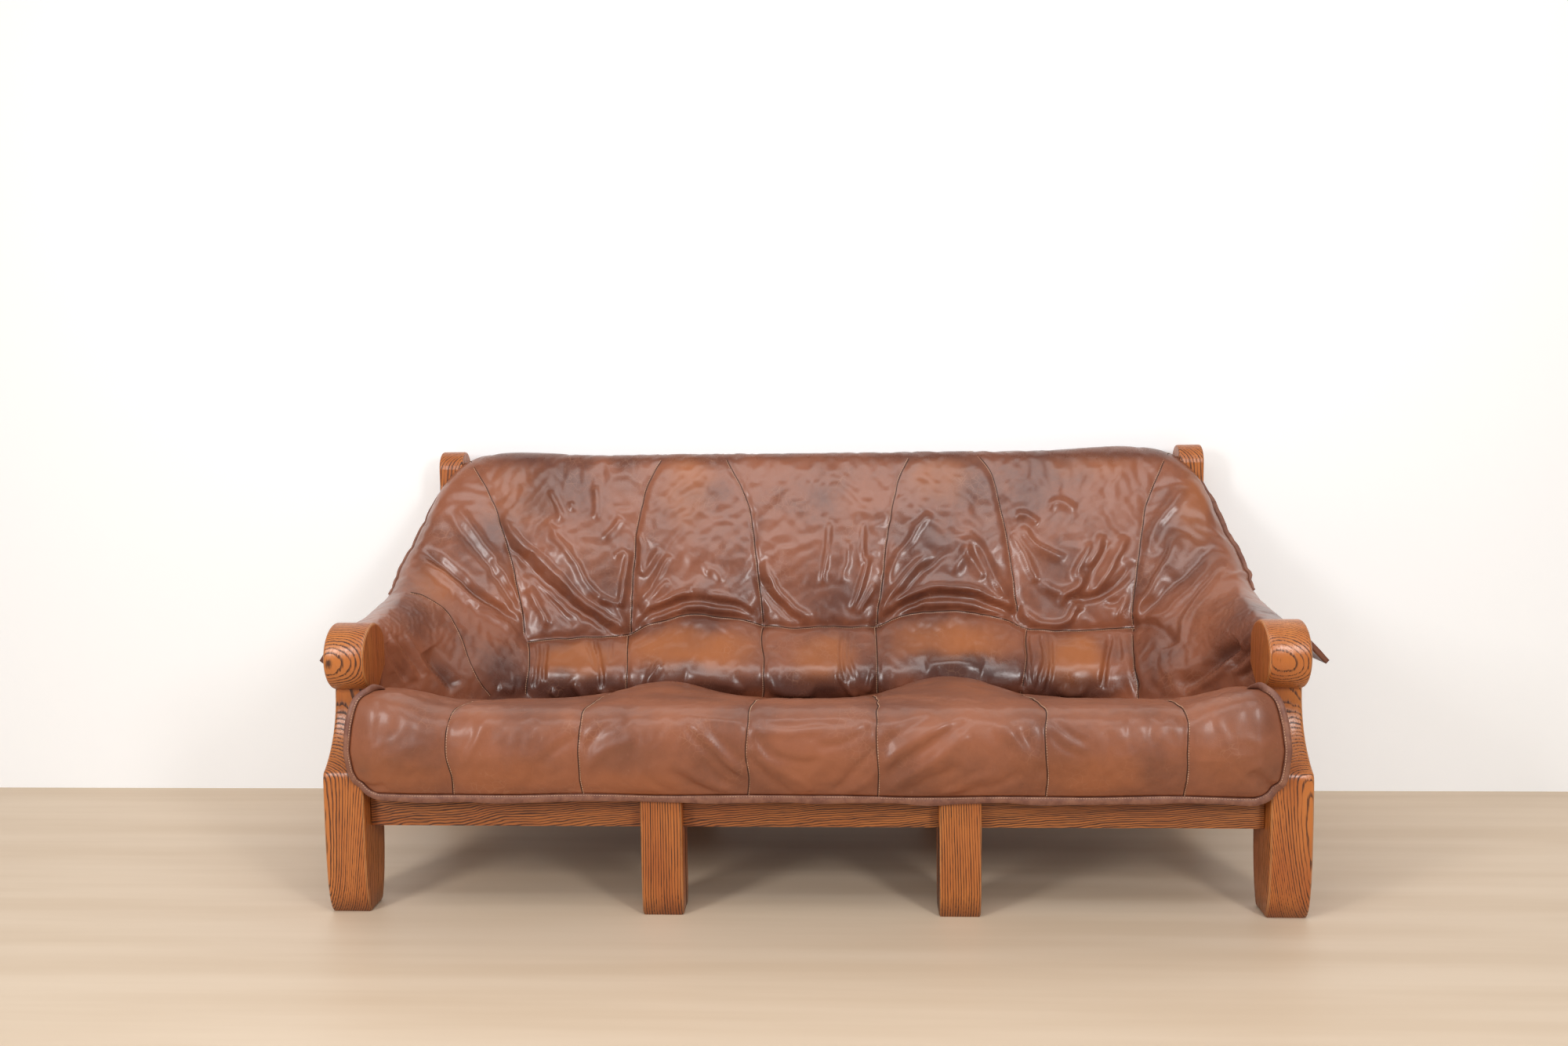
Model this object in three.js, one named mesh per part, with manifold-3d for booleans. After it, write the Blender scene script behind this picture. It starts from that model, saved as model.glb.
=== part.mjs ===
// Three-seat sofa: an oak frame with eight feet, webbing, a quilted leather seat pad
// and one leather back pad that hangs over the arm rails and the top rail.
// Millimetres. X runs along the seat, Y towards the back, Z up. The outlines below are drawn
// with y = 0 on the front plane of the feet; the group at the end moves the origin to the
// middle of the sofa's footprint.
import * as THREE from 'three';
import { mergeVertices } from 'three/addons/utils/BufferGeometryUtils.js';
import Module from 'manifold-3d';

// Driving dimensions
const HALF_WIDTH = 960; // outer faces of the front posts
const BACK_HALF_WIDTH = 932; // outer faces of the back posts
const POST_WIDTH = 82;
const POST_BACK = 112; // back edge of a front post
const SHOULDER_HEIGHT = 288;
const KNOB_RADIUS = 67;
const KNOB_CENTRE = { y: 97, z: 504 };
const KNOB_SEAT = 157; // flat on the back of the knob where the arm rail butts
const BACK_POST_THICKNESS = 58;
const BACK_POST_DEPTH = 82;
const BACK_POST_FOOT = 692; // front edge near the floor
const BACK_POST_TOP = 735; // front edge at the rounded top
const BACK_POST_HEIGHT = 881;
const RAIL_BOTTOM = 173;
const RAIL_TOP = 283;
const RAIL_THICKNESS = 28;
const FRONT_RAIL_FACE = 34;
const REAR_RAIL_FACE = 610;
const REAR_RAIL_BOTTOM = 150;
const REAR_RAIL_TOP = 235;
const ARM_RAIL_BOTTOM = 474;
const ARM_RAIL_TOP = 534;
const ARM_RAIL_THICKNESS = 40;
const SIDE_X = 908; // middle plane of the arm and side rails
const MIDDLE_LEG_X = 291;
const MIDDLE_LEG_DEPTH = 86;
const MIDDLE_LEG_TOP = 266;
const TOP_RAIL = { y: 768, z: 832, radius: 22 };
const LOWER_RAIL = { face: 718, bottom: 300, top: 380 };
const STRAP_WIDTH = 50;
const STRAP_THICKNESS = 4;
const SEAT_HALF_WIDTH = 872; // between the posts
const ROLL_HALF_WIDTH = 905; // the front roll laps over the necks of the posts
const SEAT_PAD_BACK = 598;
const BOLT = { shank: 4, hole: 4.3, head: 8.5, counterbore: 10, headHeight: 6, recess: 20, reach: 50 };
const GAP = 0.3; // clearance between pieces that touch

const OAK = { color: 0xa5683c, roughness: 0.45, metalness: 0 };
const SEAT_LEATHER = { color: 0x8d5a45, roughness: 0.42, metalness: 0 };
const BACK_LEATHER = { color: 0x9b644c, roughness: 0.38, metalness: 0 };
const WEBBING = { color: 0x4a3a2a, roughness: 0.9, metalness: 0 };
const STEEL = { color: 0x8a8780, roughness: 0.4, metalness: 1 };

const wasm = await Module();
wasm.setup();

const sofa = new THREE.Group();

function place(name, geometry, finish) {
  const mesh = new THREE.Mesh(geometry, new THREE.MeshStandardMaterial(finish));
  mesh.name = name;
  sofa.add(mesh);
  return mesh;
}

// Extrudes a side outline, drawn as (y, z), from x = from to x = to with its edges rounded over.
function extrudeSide(outline, from, to, rounding = 0) {
  const geometry = new THREE.ExtrudeGeometry(outline, {
    depth: to - from - 2 * rounding,
    steps: 1,
    curveSegments: 7,
    bevelEnabled: rounding > 0,
    bevelThickness: rounding,
    bevelSize: rounding,
    bevelOffset: -rounding,
    bevelSegments: 2,
  });
  const sideways = new THREE.Matrix4().makeBasis(
    new THREE.Vector3(0, 1, 0),
    new THREE.Vector3(0, 0, 1),
    new THREE.Vector3(1, 0, 0),
  );
  geometry.applyMatrix4(sideways);
  geometry.translate(from + rounding, 0, 0);
  return geometry;
}

// The same extrusion grown by a margin all round, used to cut room for the piece.
function roomFor(outline, from, to, margin) {
  return extrudeSide(outline, from, to, -margin);
}

function polygon(points) {
  return new THREE.Shape(points.map(([y, z]) => new THREE.Vector2(y, z)));
}

function toSolid(geometry) {
  const bare = geometry.clone();
  bare.deleteAttribute('normal');
  bare.deleteAttribute('uv');
  const merged = mergeVertices(bare, 1e-3);
  return new wasm.Manifold(new wasm.Mesh({
    numProp: 3,
    vertProperties: merged.attributes.position.array,
    triVerts: new Uint32Array(merged.index.array),
  }));
}

function toGeometry(solid) {
  const mesh = solid.getMesh();
  const geometry = new THREE.BufferGeometry();
  geometry.setAttribute('position', new THREE.Float32BufferAttribute(mesh.vertProperties, 3));
  geometry.setIndex(new THREE.Uint32BufferAttribute(mesh.triVerts, 1));
  return geometry;
}

function cutAway(geometry, tools) {
  return toGeometry(tools.reduce((rest, tool) => rest.subtract(toSolid(tool)), toSolid(geometry)));
}

function box(low, high) {
  const size = high.map((value, axis) => value - low[axis]);
  const geometry = new THREE.BoxGeometry(...size);
  return geometry.translate(...high.map((value, axis) => (value + low[axis]) / 2));
}

// A cylinder along Y between two y values.
function cylinderAlongY(radius, x, z, from, to) {
  const geometry = new THREE.CylinderGeometry(radius, radius, to - from, 20);
  return geometry.translate(0, (from + to) / 2, 0).translate(x, 0, z);
}

const SIDES = [['left', -1], ['right', 1]];

// Front posts: one thick oak plank each, with a rounded foot, a shoulder, a scooped neck
// and a drum-shaped knob that ends the arm.
function frontPostOutline() {
  const outline = new THREE.Shape();
  outline.moveTo(22, 0);
  outline.lineTo(82, 0);
  outline.quadraticCurveTo(106, 40, POST_BACK, 140);
  outline.lineTo(POST_BACK, 430);
  outline.lineTo(KNOB_SEAT, ARM_RAIL_BOTTOM);
  outline.lineTo(KNOB_SEAT, ARM_RAIL_TOP);
  outline.absarc(KNOB_CENTRE.y, KNOB_CENTRE.z, KNOB_RADIUS, Math.PI * 0.15, Math.PI * 1.45, false);
  outline.lineTo(84, 425);
  outline.bezierCurveTo(80, 360, 45, 318, 8, SHOULDER_HEIGHT + 4);
  outline.lineTo(1, SHOULDER_HEIGHT - 12);
  outline.quadraticCurveTo(-6, 120, 2, 60);
  outline.quadraticCurveTo(8, 14, 22, 0);
  return outline;
}

// Back posts: flat planks that stand behind the pad and end in a half round.
function backPostFront(z) {
  const bend = 330;
  const lean = THREE.MathUtils.clamp((z - bend) / (800 - bend), 0, 1);
  return THREE.MathUtils.lerp(BACK_POST_FOOT, BACK_POST_TOP, lean);
}

function backPostOutline() {
  const radius = BACK_POST_DEPTH / 2;
  const outline = new THREE.Shape();
  outline.moveTo(BACK_POST_FOOT + 6, 0);
  outline.lineTo(BACK_POST_FOOT + BACK_POST_DEPTH - 6, 0);
  outline.lineTo(BACK_POST_FOOT + BACK_POST_DEPTH, 12);
  outline.lineTo(BACK_POST_FOOT + BACK_POST_DEPTH, 330);
  outline.lineTo(BACK_POST_TOP + BACK_POST_DEPTH, 800);
  outline.absarc(BACK_POST_TOP + radius, BACK_POST_HEIGHT - radius, radius, 0, Math.PI, false);
  outline.lineTo(BACK_POST_TOP, 800);
  outline.lineTo(BACK_POST_FOOT, 330);
  outline.lineTo(BACK_POST_FOOT, 12);
  return outline;
}

function armRailOutline() {
  return polygon([
    [KNOB_SEAT + GAP, ARM_RAIL_BOTTOM],
    [backPostFront(ARM_RAIL_BOTTOM) - GAP, ARM_RAIL_BOTTOM],
    [backPostFront(ARM_RAIL_TOP) - GAP, ARM_RAIL_TOP],
    [KNOB_SEAT + GAP, ARM_RAIL_TOP],
  ]);
}

const BOLT_HEIGHTS = { arm: (ARM_RAIL_BOTTOM + ARM_RAIL_TOP) / 2, side: (RAIL_BOTTOM + RAIL_TOP) / 2 };

function boltHole(side, z, from, to) {
  return cylinderAlongY(BOLT.hole, side * SIDE_X, z, from, to);
}

function makePosts() {
  for (const [label, side] of SIDES) {
    const outer = side * HALF_WIDTH;
    const inner = side * (HALF_WIDTH - POST_WIDTH);
    const front = extrudeSide(frontPostOutline(), Math.min(outer, inner), Math.max(outer, inner), 4);
    place(`front_post_${label}`, front, OAK);

    const outerBack = side * BACK_HALF_WIDTH;
    const innerBack = side * (BACK_HALF_WIDTH - BACK_POST_THICKNESS);
    const backSpan = [Math.min(outerBack, innerBack), Math.max(outerBack, innerBack)];
    const back = extrudeSide(backPostOutline(), ...backSpan, 4);
    const holes = Object.values(BOLT_HEIGHTS).flatMap((z) => {
      const rear = backPostFront(z) + BACK_POST_DEPTH;
      return [
        boltHole(side, z, backPostFront(z) - 20, rear + 20),
        cylinderAlongY(BOLT.counterbore, side * SIDE_X, z, rear - BOLT.recess, rear + 20),
      ];
    });
    place(`back_post_${label}`, cutAway(back, holes), OAK);
  }
}

function makeSideRails() {
  for (const [label, side] of SIDES) {
    const armMiddle = side * SIDE_X;
    const armHalf = ARM_RAIL_THICKNESS / 2;
    const arm = extrudeSide(armRailOutline(), armMiddle - armHalf, armMiddle + armHalf, 6);
    const armEnd = backPostFront(BOLT_HEIGHTS.arm);
    const armHole = boltHole(side, BOLT_HEIGHTS.arm, armEnd - BOLT.reach - 10, armEnd + 20);
    place(`arm_rail_${label}`, cutAway(arm, [armHole]), OAK);

    const half = RAIL_THICKNESS / 2;
    const outline = polygon([
      [POST_BACK + GAP, RAIL_BOTTOM],
      [BACK_POST_FOOT - GAP, RAIL_BOTTOM],
      [BACK_POST_FOOT - GAP, RAIL_TOP],
      [POST_BACK + GAP, RAIL_TOP],
    ]);
    const middle = side * SIDE_X;
    const rail = extrudeSide(outline, middle - half, middle + half, 2);
    const hole = boltHole(side, BOLT_HEIGHTS.side, BACK_POST_FOOT - BOLT.reach - 10, BACK_POST_FOOT + 20);
    place(`side_rail_${label}`, cutAway(rail, [hole]), OAK);
  }
}

function makeCrossRails() {
  const front = polygon([
    [FRONT_RAIL_FACE, RAIL_BOTTOM],
    [FRONT_RAIL_FACE + RAIL_THICKNESS, RAIL_BOTTOM],
    [FRONT_RAIL_FACE + RAIL_THICKNESS, RAIL_TOP],
    [FRONT_RAIL_FACE, RAIL_TOP],
  ]);
  const frontEnd = HALF_WIDTH - POST_WIDTH - GAP;
  place('front_rail', extrudeSide(front, -frontEnd, frontEnd, 2), OAK);

  const rear = polygon([
    [REAR_RAIL_FACE, REAR_RAIL_BOTTOM],
    [REAR_RAIL_FACE + RAIL_THICKNESS, REAR_RAIL_BOTTOM],
    [REAR_RAIL_FACE + RAIL_THICKNESS, REAR_RAIL_TOP],
    [REAR_RAIL_FACE, REAR_RAIL_TOP],
  ]);
  const rearEnd = SIDE_X - RAIL_THICKNESS / 2 - GAP;
  place('rear_rail', extrudeSide(rear, -rearEnd, rearEnd, 2), OAK);

  const backEnd = BACK_HALF_WIDTH - BACK_POST_THICKNESS - GAP;
  const lower = polygon([
    [LOWER_RAIL.face, LOWER_RAIL.bottom],
    [LOWER_RAIL.face + RAIL_THICKNESS, LOWER_RAIL.bottom],
    [LOWER_RAIL.face + RAIL_THICKNESS, LOWER_RAIL.top],
    [LOWER_RAIL.face, LOWER_RAIL.top],
  ]);
  place('back_lower_rail', extrudeSide(lower, -backEnd, backEnd, 2), OAK);

  const dowel = new THREE.CylinderGeometry(TOP_RAIL.radius, TOP_RAIL.radius, 2 * backEnd, 28);
  dowel.rotateZ(Math.PI / 2);
  dowel.translate(0, TOP_RAIL.y, TOP_RAIL.z);
  place('back_top_rail', dowel, OAK);
}

// Middle legs: blocks slotted from above so that the rail drops through them.
function middleLegOutline(front, railFace, railBottom) {
  const back = front + MIDDLE_LEG_DEPTH;
  const slotFront = railFace - GAP;
  const slotBack = railFace + RAIL_THICKNESS + GAP;
  const outline = new THREE.Shape();
  outline.moveTo(front + 12, 0);
  outline.lineTo(back - 12, 0);
  outline.quadraticCurveTo(back - 3, 14, back, 60);
  outline.lineTo(back, railBottom + 60);
  outline.lineTo(slotBack, railBottom + 60);
  outline.lineTo(slotBack, railBottom - GAP);
  outline.lineTo(slotFront, railBottom - GAP);
  outline.lineTo(slotFront, Math.min(MIDDLE_LEG_TOP, railBottom + 93));
  outline.lineTo(front, Math.min(MIDDLE_LEG_TOP, railBottom + 93));
  outline.lineTo(front, 60);
  outline.quadraticCurveTo(front + 3, 14, front + 12, 0);
  return outline;
}

function makeMiddleLegsAndBearers() {
  const frontLegFace = 3;
  const rearLegFace = REAR_RAIL_FACE - (MIDDLE_LEG_DEPTH - RAIL_THICKNESS) / 2;
  const bearerWidth = 40;
  for (const [label, side] of SIDES) {
    const from = side * MIDDLE_LEG_X - POST_WIDTH / 2;
    const front = middleLegOutline(frontLegFace, FRONT_RAIL_FACE, RAIL_BOTTOM);
    place(`middle_leg_front_${label}`, extrudeSide(front, from, from + POST_WIDTH, 3), OAK);
    const rear = middleLegOutline(rearLegFace, REAR_RAIL_FACE, REAR_RAIL_BOTTOM);
    const rearLeg = cutAway(extrudeSide(rear, from, from + POST_WIDTH, 3), [
      box([from - 10, rearLegFace - 10, REAR_RAIL_TOP - 6], [from + 200, rearLegFace + 200, 400]),
    ]);
    place(`middle_leg_rear_${label}`, rearLeg, OAK);

    const bearerFront = frontLegFace + MIDDLE_LEG_DEPTH + GAP;
    const bearer = polygon([
      [bearerFront, 140],
      [rearLegFace - GAP, 140],
      [rearLegFace - GAP, 200],
      [bearerFront, 200],
    ]);
    const bearerFrom = side * MIDDLE_LEG_X - bearerWidth / 2;
    place(`cross_bearer_${label}`, extrudeSide(bearer, bearerFrom, bearerFrom + bearerWidth, 2), OAK);
  }
}

// Webbing: flat straps tacked over the rails, front to back under the seat pad and up the back.
function makeStraps() {
  const seatStraps = 8;
  const seatPitch = 208;
  const frontEdge = FRONT_RAIL_FACE + RAIL_THICKNESS;
  const over = [
    [FRONT_RAIL_FACE + 2, RAIL_TOP + GAP],
    [frontEdge, RAIL_TOP + GAP],
    [REAR_RAIL_FACE, REAR_RAIL_TOP + GAP],
    [REAR_RAIL_FACE + RAIL_THICKNESS - 2, REAR_RAIL_TOP + GAP],
  ];
  const outline = polygon([...over, ...over.map(([y, z]) => [y, z + STRAP_THICKNESS]).reverse()]);
  for (let index = 0; index < seatStraps; index += 1) {
    const middle = (index - (seatStraps - 1) / 2) * seatPitch;
    const strap = extrudeSide(outline, middle - STRAP_WIDTH / 2, middle + STRAP_WIDTH / 2);
    place(`seat_strap_${index + 1}`, strap, WEBBING);
  }

  const backStraps = 6;
  const backPitch = 280;
  const topEnd = TOP_RAIL.z - TOP_RAIL.radius - GAP;
  const up = [
    [LOWER_RAIL.face - GAP, LOWER_RAIL.bottom + 4],
    [LOWER_RAIL.face - GAP, LOWER_RAIL.top],
    [TOP_RAIL.y, topEnd],
  ];
  const backOutline = polygon([...up, ...up.map(([y, z]) => [y - STRAP_THICKNESS, z]).reverse()]);
  for (let index = 0; index < backStraps; index += 1) {
    const middle = (index - (backStraps - 1) / 2) * backPitch;
    const strap = extrudeSide(backOutline, middle - STRAP_WIDTH / 2, middle + STRAP_WIDTH / 2);
    place(`back_strap_${index + 1}`, strap, WEBBING);
  }
}

// Bolts: hex-socket bolts through the back posts into the ends of the arm and side rails.
function makeBolts() {
  for (const [label, side] of SIDES) {
    for (const [rail, z] of Object.entries(BOLT_HEIGHTS)) {
      const seat = backPostFront(z) + BACK_POST_DEPTH - BOLT.recess;
      const tip = backPostFront(z) - BOLT.reach;
      const profile = [
        [0, tip],
        [BOLT.shank, tip],
        [BOLT.shank, seat + GAP],
        [BOLT.head, seat + GAP],
        [BOLT.head, seat + BOLT.headHeight],
        [BOLT.shank, seat + BOLT.headHeight],
        [BOLT.shank - 1, seat + 2],
        [0, seat + 2],
      ].map(([radius, y]) => new THREE.Vector2(radius, y));
      const bolt = new THREE.LatheGeometry(profile, 18);
      bolt.translate(side * SIDE_X, 0, z);
      place(`${rail}_bolt_${label}`, bolt, STEEL);
    }
  }
}

// Seat pad: one quilted pad that rolls over the front rail and ends in a hem below it.
const seatTop = [[30, 414], [75, 410], [150, 400], [300, 366], [450, 330], [530, 308], [SEAT_PAD_BACK, 290]];

function seatPadOutline() {
  const outline = new THREE.Shape();
  outline.moveTo(2.4, 228);
  outline.lineTo(2.4, RAIL_TOP + 8);
  outline.lineTo(FRONT_RAIL_FACE + RAIL_THICKNESS, RAIL_TOP + STRAP_THICKNESS + 3);
  outline.lineTo(SEAT_PAD_BACK, REAR_RAIL_TOP + STRAP_THICKNESS + 4);
  outline.splineThru(seatTop.slice().reverse().map(([y, z]) => new THREE.Vector2(y, z)));
  outline.bezierCurveTo(-10, 416, -34, 385, -32, 340);
  outline.quadraticCurveTo(-28, 285, -6, 236);
  outline.lineTo(-6, 228);
  return outline;
}

function makeSeatPad() {
  const pad = extrudeSide(seatPadOutline(), -ROLL_HALF_WIDTH, ROLL_HALF_WIDTH);
  const tools = SIDES.flatMap(([, side]) => {
    const ends = [side * SEAT_HALF_WIDTH, side * (ROLL_HALF_WIDTH + 50)];
    const neck = [side * (HALF_WIDTH - POST_WIDTH), side * (HALF_WIDTH + 20)];
    return [
      box([Math.min(...ends), 90, 100], [Math.max(...ends), 800, 600]),
      roomFor(frontPostOutline(), Math.min(...neck), Math.max(...neck), 1),
    ];
  });
  place('seat_pad', cutAway(pad, tools), SEAT_LEATHER);
}

// Back pad: a thick quilted sheet bent round the seat. Each line below runs from the front end of
// one arm to the middle of the back, as (distance from the middle plane, y, z); the pad's front
// surface passes through all of them, from its foot on the seat, over the rails, to its free hem.
const PAD_LINES = [
  { thickness: 50, points: [[866, 160, 404], [832, 250, 384], [768, 345, 361], [705, 420, 341],
    [645, 475, 327], [540, 498, 320], [300, 500, 320], [0, 500, 320]] },
  { thickness: 50, points: [[860, 160, 440], [836, 262, 425], [780, 360, 405], [718, 440, 390],
    [648, 482, 380], [540, 486, 374], [300, 486, 374], [0, 486, 374]] },
  { thickness: 50, points: [[862, 160, 480], [848, 270, 470], [812, 375, 462], [765, 470, 460],
    [695, 545, 462], [560, 568, 465], [300, 570, 467], [0, 570, 466]] },
  { thickness: 42, points: [[872, 160, 512], [868, 265, 514], [862, 375, 525], [852, 475, 548],
    [815, 560, 600], [705, 632, 650], [400, 645, 655], [0, 645, 655]] },
  { thickness: 16, points: [[893, 160, 545], [900, 265, 550], [906, 375, 562], [916, 465, 585],
    [915, 575, 668], [832, 700, 815], [500, 722, 838], [0, 724, 838]] },
  { thickness: 14, points: [[925, 160, 556], [930, 265, 560], [936, 375, 572], [946, 465, 594],
    [948, 590, 676], [868, 738, 860], [500, 764, 870], [0, 766, 870]] },
  { thickness: 12, points: [[982, 162, 532], [980, 265, 538], [980, 375, 548], [978, 472, 568],
    [972, 605, 650], [905, 760, 826], [560, 804, 842], [0, 806, 842]] },
  { thickness: 10, points: [[1022, 166, 480], [1004, 265, 486], [992, 375, 494], [984, 480, 512],
    [976, 630, 600], [915, 782, 742], [560, 814, 742], [0, 814, 742]] },
];
const PAD_STATIONS = 44;
const PAD_STEPS = 18;

function padFrontSurface() {
  const lines = PAD_LINES.map(({ points }) => {
    const across = points.map(([x, y, z]) => new THREE.Vector3(-x, y, z));
    const mirrored = points.slice(0, -1).reverse().map(([x, y, z]) => new THREE.Vector3(x, y, z));
    return new THREE.CatmullRomCurve3([...across, ...mirrored], false, 'catmullrom', 0.5);
  });
  return (along, up) => {
    const section = lines.map((line) => line.getPoint(along));
    return new THREE.CatmullRomCurve3(section, false, 'catmullrom', 0.5).getPoint(up);
  };
}

function padThickness(along, up) {
  const place = up * (PAD_LINES.length - 1);
  const index = Math.min(Math.floor(place), PAD_LINES.length - 2);
  const full = THREE.MathUtils.lerp(PAD_LINES[index].thickness, PAD_LINES[index + 1].thickness, place - index);
  const endTaper = THREE.MathUtils.smoothstep(Math.min(along, 1 - along), 0, 0.16);
  return Math.min(full, THREE.MathUtils.lerp(24, full, endTaper));
}

function padGeometry() {
  const surface = padFrontSurface();
  const front = [];
  const back = [];
  const small = 1e-3;
  for (let i = 0; i <= PAD_STATIONS; i += 1) {
    for (let j = 0; j <= PAD_STEPS; j += 1) {
      const along = i / PAD_STATIONS;
      const up = j / PAD_STEPS;
      const point = surface(along, up);
      const lateral = surface(Math.min(along + small, 1), up).sub(surface(Math.max(along - small, 0), up));
      const rising = surface(along, Math.min(up + small, 1)).sub(surface(along, Math.max(up - small, 0)));
      const normal = lateral.cross(rising).normalize();
      front.push(point);
      back.push(point.clone().addScaledVector(normal, -padThickness(along, up)));
    }
  }
  const positions = [...front, ...back].flatMap((point) => [point.x, point.y, point.z]);
  const width = PAD_STEPS + 1;
  const behind = front.length;
  const faces = [];
  const quad = (a, b, c, d) => faces.push(a, b, c, a, c, d);
  for (let i = 0; i < PAD_STATIONS; i += 1) {
    for (let j = 0; j < PAD_STEPS; j += 1) {
      const a = i * width + j;
      quad(a, a + width, a + width + 1, a + 1);
      quad(a + behind, a + 1 + behind, a + width + 1 + behind, a + width + behind);
    }
    const foot = i * width;
    const hem = foot + PAD_STEPS;
    quad(foot, foot + behind, foot + width + behind, foot + width);
    quad(hem, hem + width, hem + width + behind, hem + behind);
  }
  for (let j = 0; j < PAD_STEPS; j += 1) {
    const end = PAD_STATIONS * width + j;
    quad(j, j + 1, j + 1 + behind, j + behind);
    quad(end, end + behind, end + 1 + behind, end + 1);
  }
  const geometry = new THREE.BufferGeometry();
  geometry.setAttribute('position', new THREE.Float32BufferAttribute(positions, 3));
  geometry.setIndex(faces);
  return geometry;
}

function makeBackPad() {
  const margin = 1;
  const railRoom = new THREE.CylinderGeometry(TOP_RAIL.radius + margin, TOP_RAIL.radius + margin, 1820, 28);
  railRoom.rotateZ(Math.PI / 2).translate(0, TOP_RAIL.y, TOP_RAIL.z);
  const tools = SIDES.flatMap(([, side]) => {
    const outer = side * HALF_WIDTH;
    const outerBack = side * BACK_HALF_WIDTH;
    const innerBack = side * (BACK_HALF_WIDTH - BACK_POST_THICKNESS);
    const innerFront = side * (HALF_WIDTH - POST_WIDTH);
    const railMiddle = side * SIDE_X;
    const railHalf = ARM_RAIL_THICKNESS / 2;
    return [
      roomFor(backPostOutline(), Math.min(outerBack, innerBack), Math.max(outerBack, innerBack), margin),
      roomFor(frontPostOutline(), Math.min(outer, innerFront), Math.max(outer, innerFront), margin),
      roomFor(armRailOutline(), railMiddle - railHalf, railMiddle + railHalf, margin),
    ];
  });
  const seatRoom = extrudeSide(seatPadOutline(), -ROLL_HALF_WIDTH, ROLL_HALF_WIDTH).translate(0, 0, margin);
  place('back_pad', cutAway(padGeometry(), [railRoom, seatRoom, ...tools]), BACK_LEATHER);
}

makePosts();
makeSideRails();
makeCrossRails();
makeMiddleLegsAndBearers();
makeStraps();
makeBolts();
makeSeatPad();
makeBackPad();

// The origin is the middle of the footprint, on the floor.
const extent = new THREE.Box3().setFromObject(sofa);
sofa.position.y = -(extent.min.y + extent.max.y) / 2;

export default sofa;
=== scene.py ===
"""Looks of a worn three-seat sofa: sculpted oak frame, quilted leather seat pad and back pad."""
import math

import bpy
import numpy as np
from mathutils import Matrix, Vector


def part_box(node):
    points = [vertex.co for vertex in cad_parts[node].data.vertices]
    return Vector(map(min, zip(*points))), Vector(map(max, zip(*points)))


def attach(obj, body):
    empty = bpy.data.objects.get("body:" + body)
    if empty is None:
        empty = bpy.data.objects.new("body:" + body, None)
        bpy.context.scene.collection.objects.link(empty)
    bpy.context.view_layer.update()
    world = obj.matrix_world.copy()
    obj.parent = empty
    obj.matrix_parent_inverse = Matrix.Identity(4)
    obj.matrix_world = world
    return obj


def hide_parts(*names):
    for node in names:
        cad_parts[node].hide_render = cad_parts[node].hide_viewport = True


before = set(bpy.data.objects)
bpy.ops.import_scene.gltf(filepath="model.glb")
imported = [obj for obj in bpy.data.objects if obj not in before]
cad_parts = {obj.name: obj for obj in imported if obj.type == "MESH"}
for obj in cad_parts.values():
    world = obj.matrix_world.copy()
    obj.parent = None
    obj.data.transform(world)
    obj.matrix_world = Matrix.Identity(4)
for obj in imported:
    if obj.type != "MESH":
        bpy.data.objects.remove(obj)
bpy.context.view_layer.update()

# Studio: a standing viewer's camera, a pale board floor and a white wall close behind the sofa.
# Lengths in this script are metres; y_front is the front plane of the feet, from which the
# sofa's own depths are drawn.
rail_behind_feet = 0.034
y_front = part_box("front_rail")[0].y - rail_behind_feet


def facing(yaw, pitch, roll):
    """Rotation of a camera that looks along +Y, turned by these angles in degrees."""
    yaw, pitch, roll = (math.radians(angle) for angle in (yaw, pitch, roll))
    forward = Vector((math.sin(yaw) * math.cos(pitch), math.cos(yaw) * math.cos(pitch), math.sin(pitch)))
    level = Vector((math.cos(yaw), -math.sin(yaw), 0))
    upright = level.cross(forward)
    right = math.cos(roll) * level + math.sin(roll) * upright
    above = -math.sin(roll) * level + math.cos(roll) * upright
    return Matrix((right, above, -forward)).transposed().to_4x4()


eye = Vector((0.0854, y_front - 2.5085, 1.0368))
camera_data = bpy.data.cameras.new("studio_camera")
camera_data.sensor_width = 36
camera_data.lens = 30.6
camera = bpy.data.objects.new("studio_camera", camera_data)
camera.matrix_world = Matrix.Translation(eye) @ facing(-2.92, -5.90, -0.73)
bpy.context.collection.objects.link(camera)
bpy.context.scene.camera = camera
bpy.context.scene.view_settings.view_transform = "Standard"


def add_mesh(name, vertices, faces, smooth=True):
    """A mesh object at the origin with its place in its vertices."""
    mesh = bpy.data.meshes.new(name)
    mesh.from_pydata([tuple(v) for v in vertices], [], [tuple(f) for f in faces])
    mesh.polygons.foreach_set("use_smooth", [smooth] * len(mesh.polygons))
    mesh.update()
    piece = bpy.data.objects.new(name, mesh)
    bpy.context.collection.objects.link(piece)
    return piece


def linear(hex_colour):
    """Linear RGBA of an sRGB hex colour."""
    channels = [int(hex_colour[i:i + 2], 16) / 255 for i in (0, 2, 4)]
    return tuple(c / 12.92 if c <= 0.04045 else ((c + 0.055) / 1.055) ** 2.4 for c in channels) + (1.0,)


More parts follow.
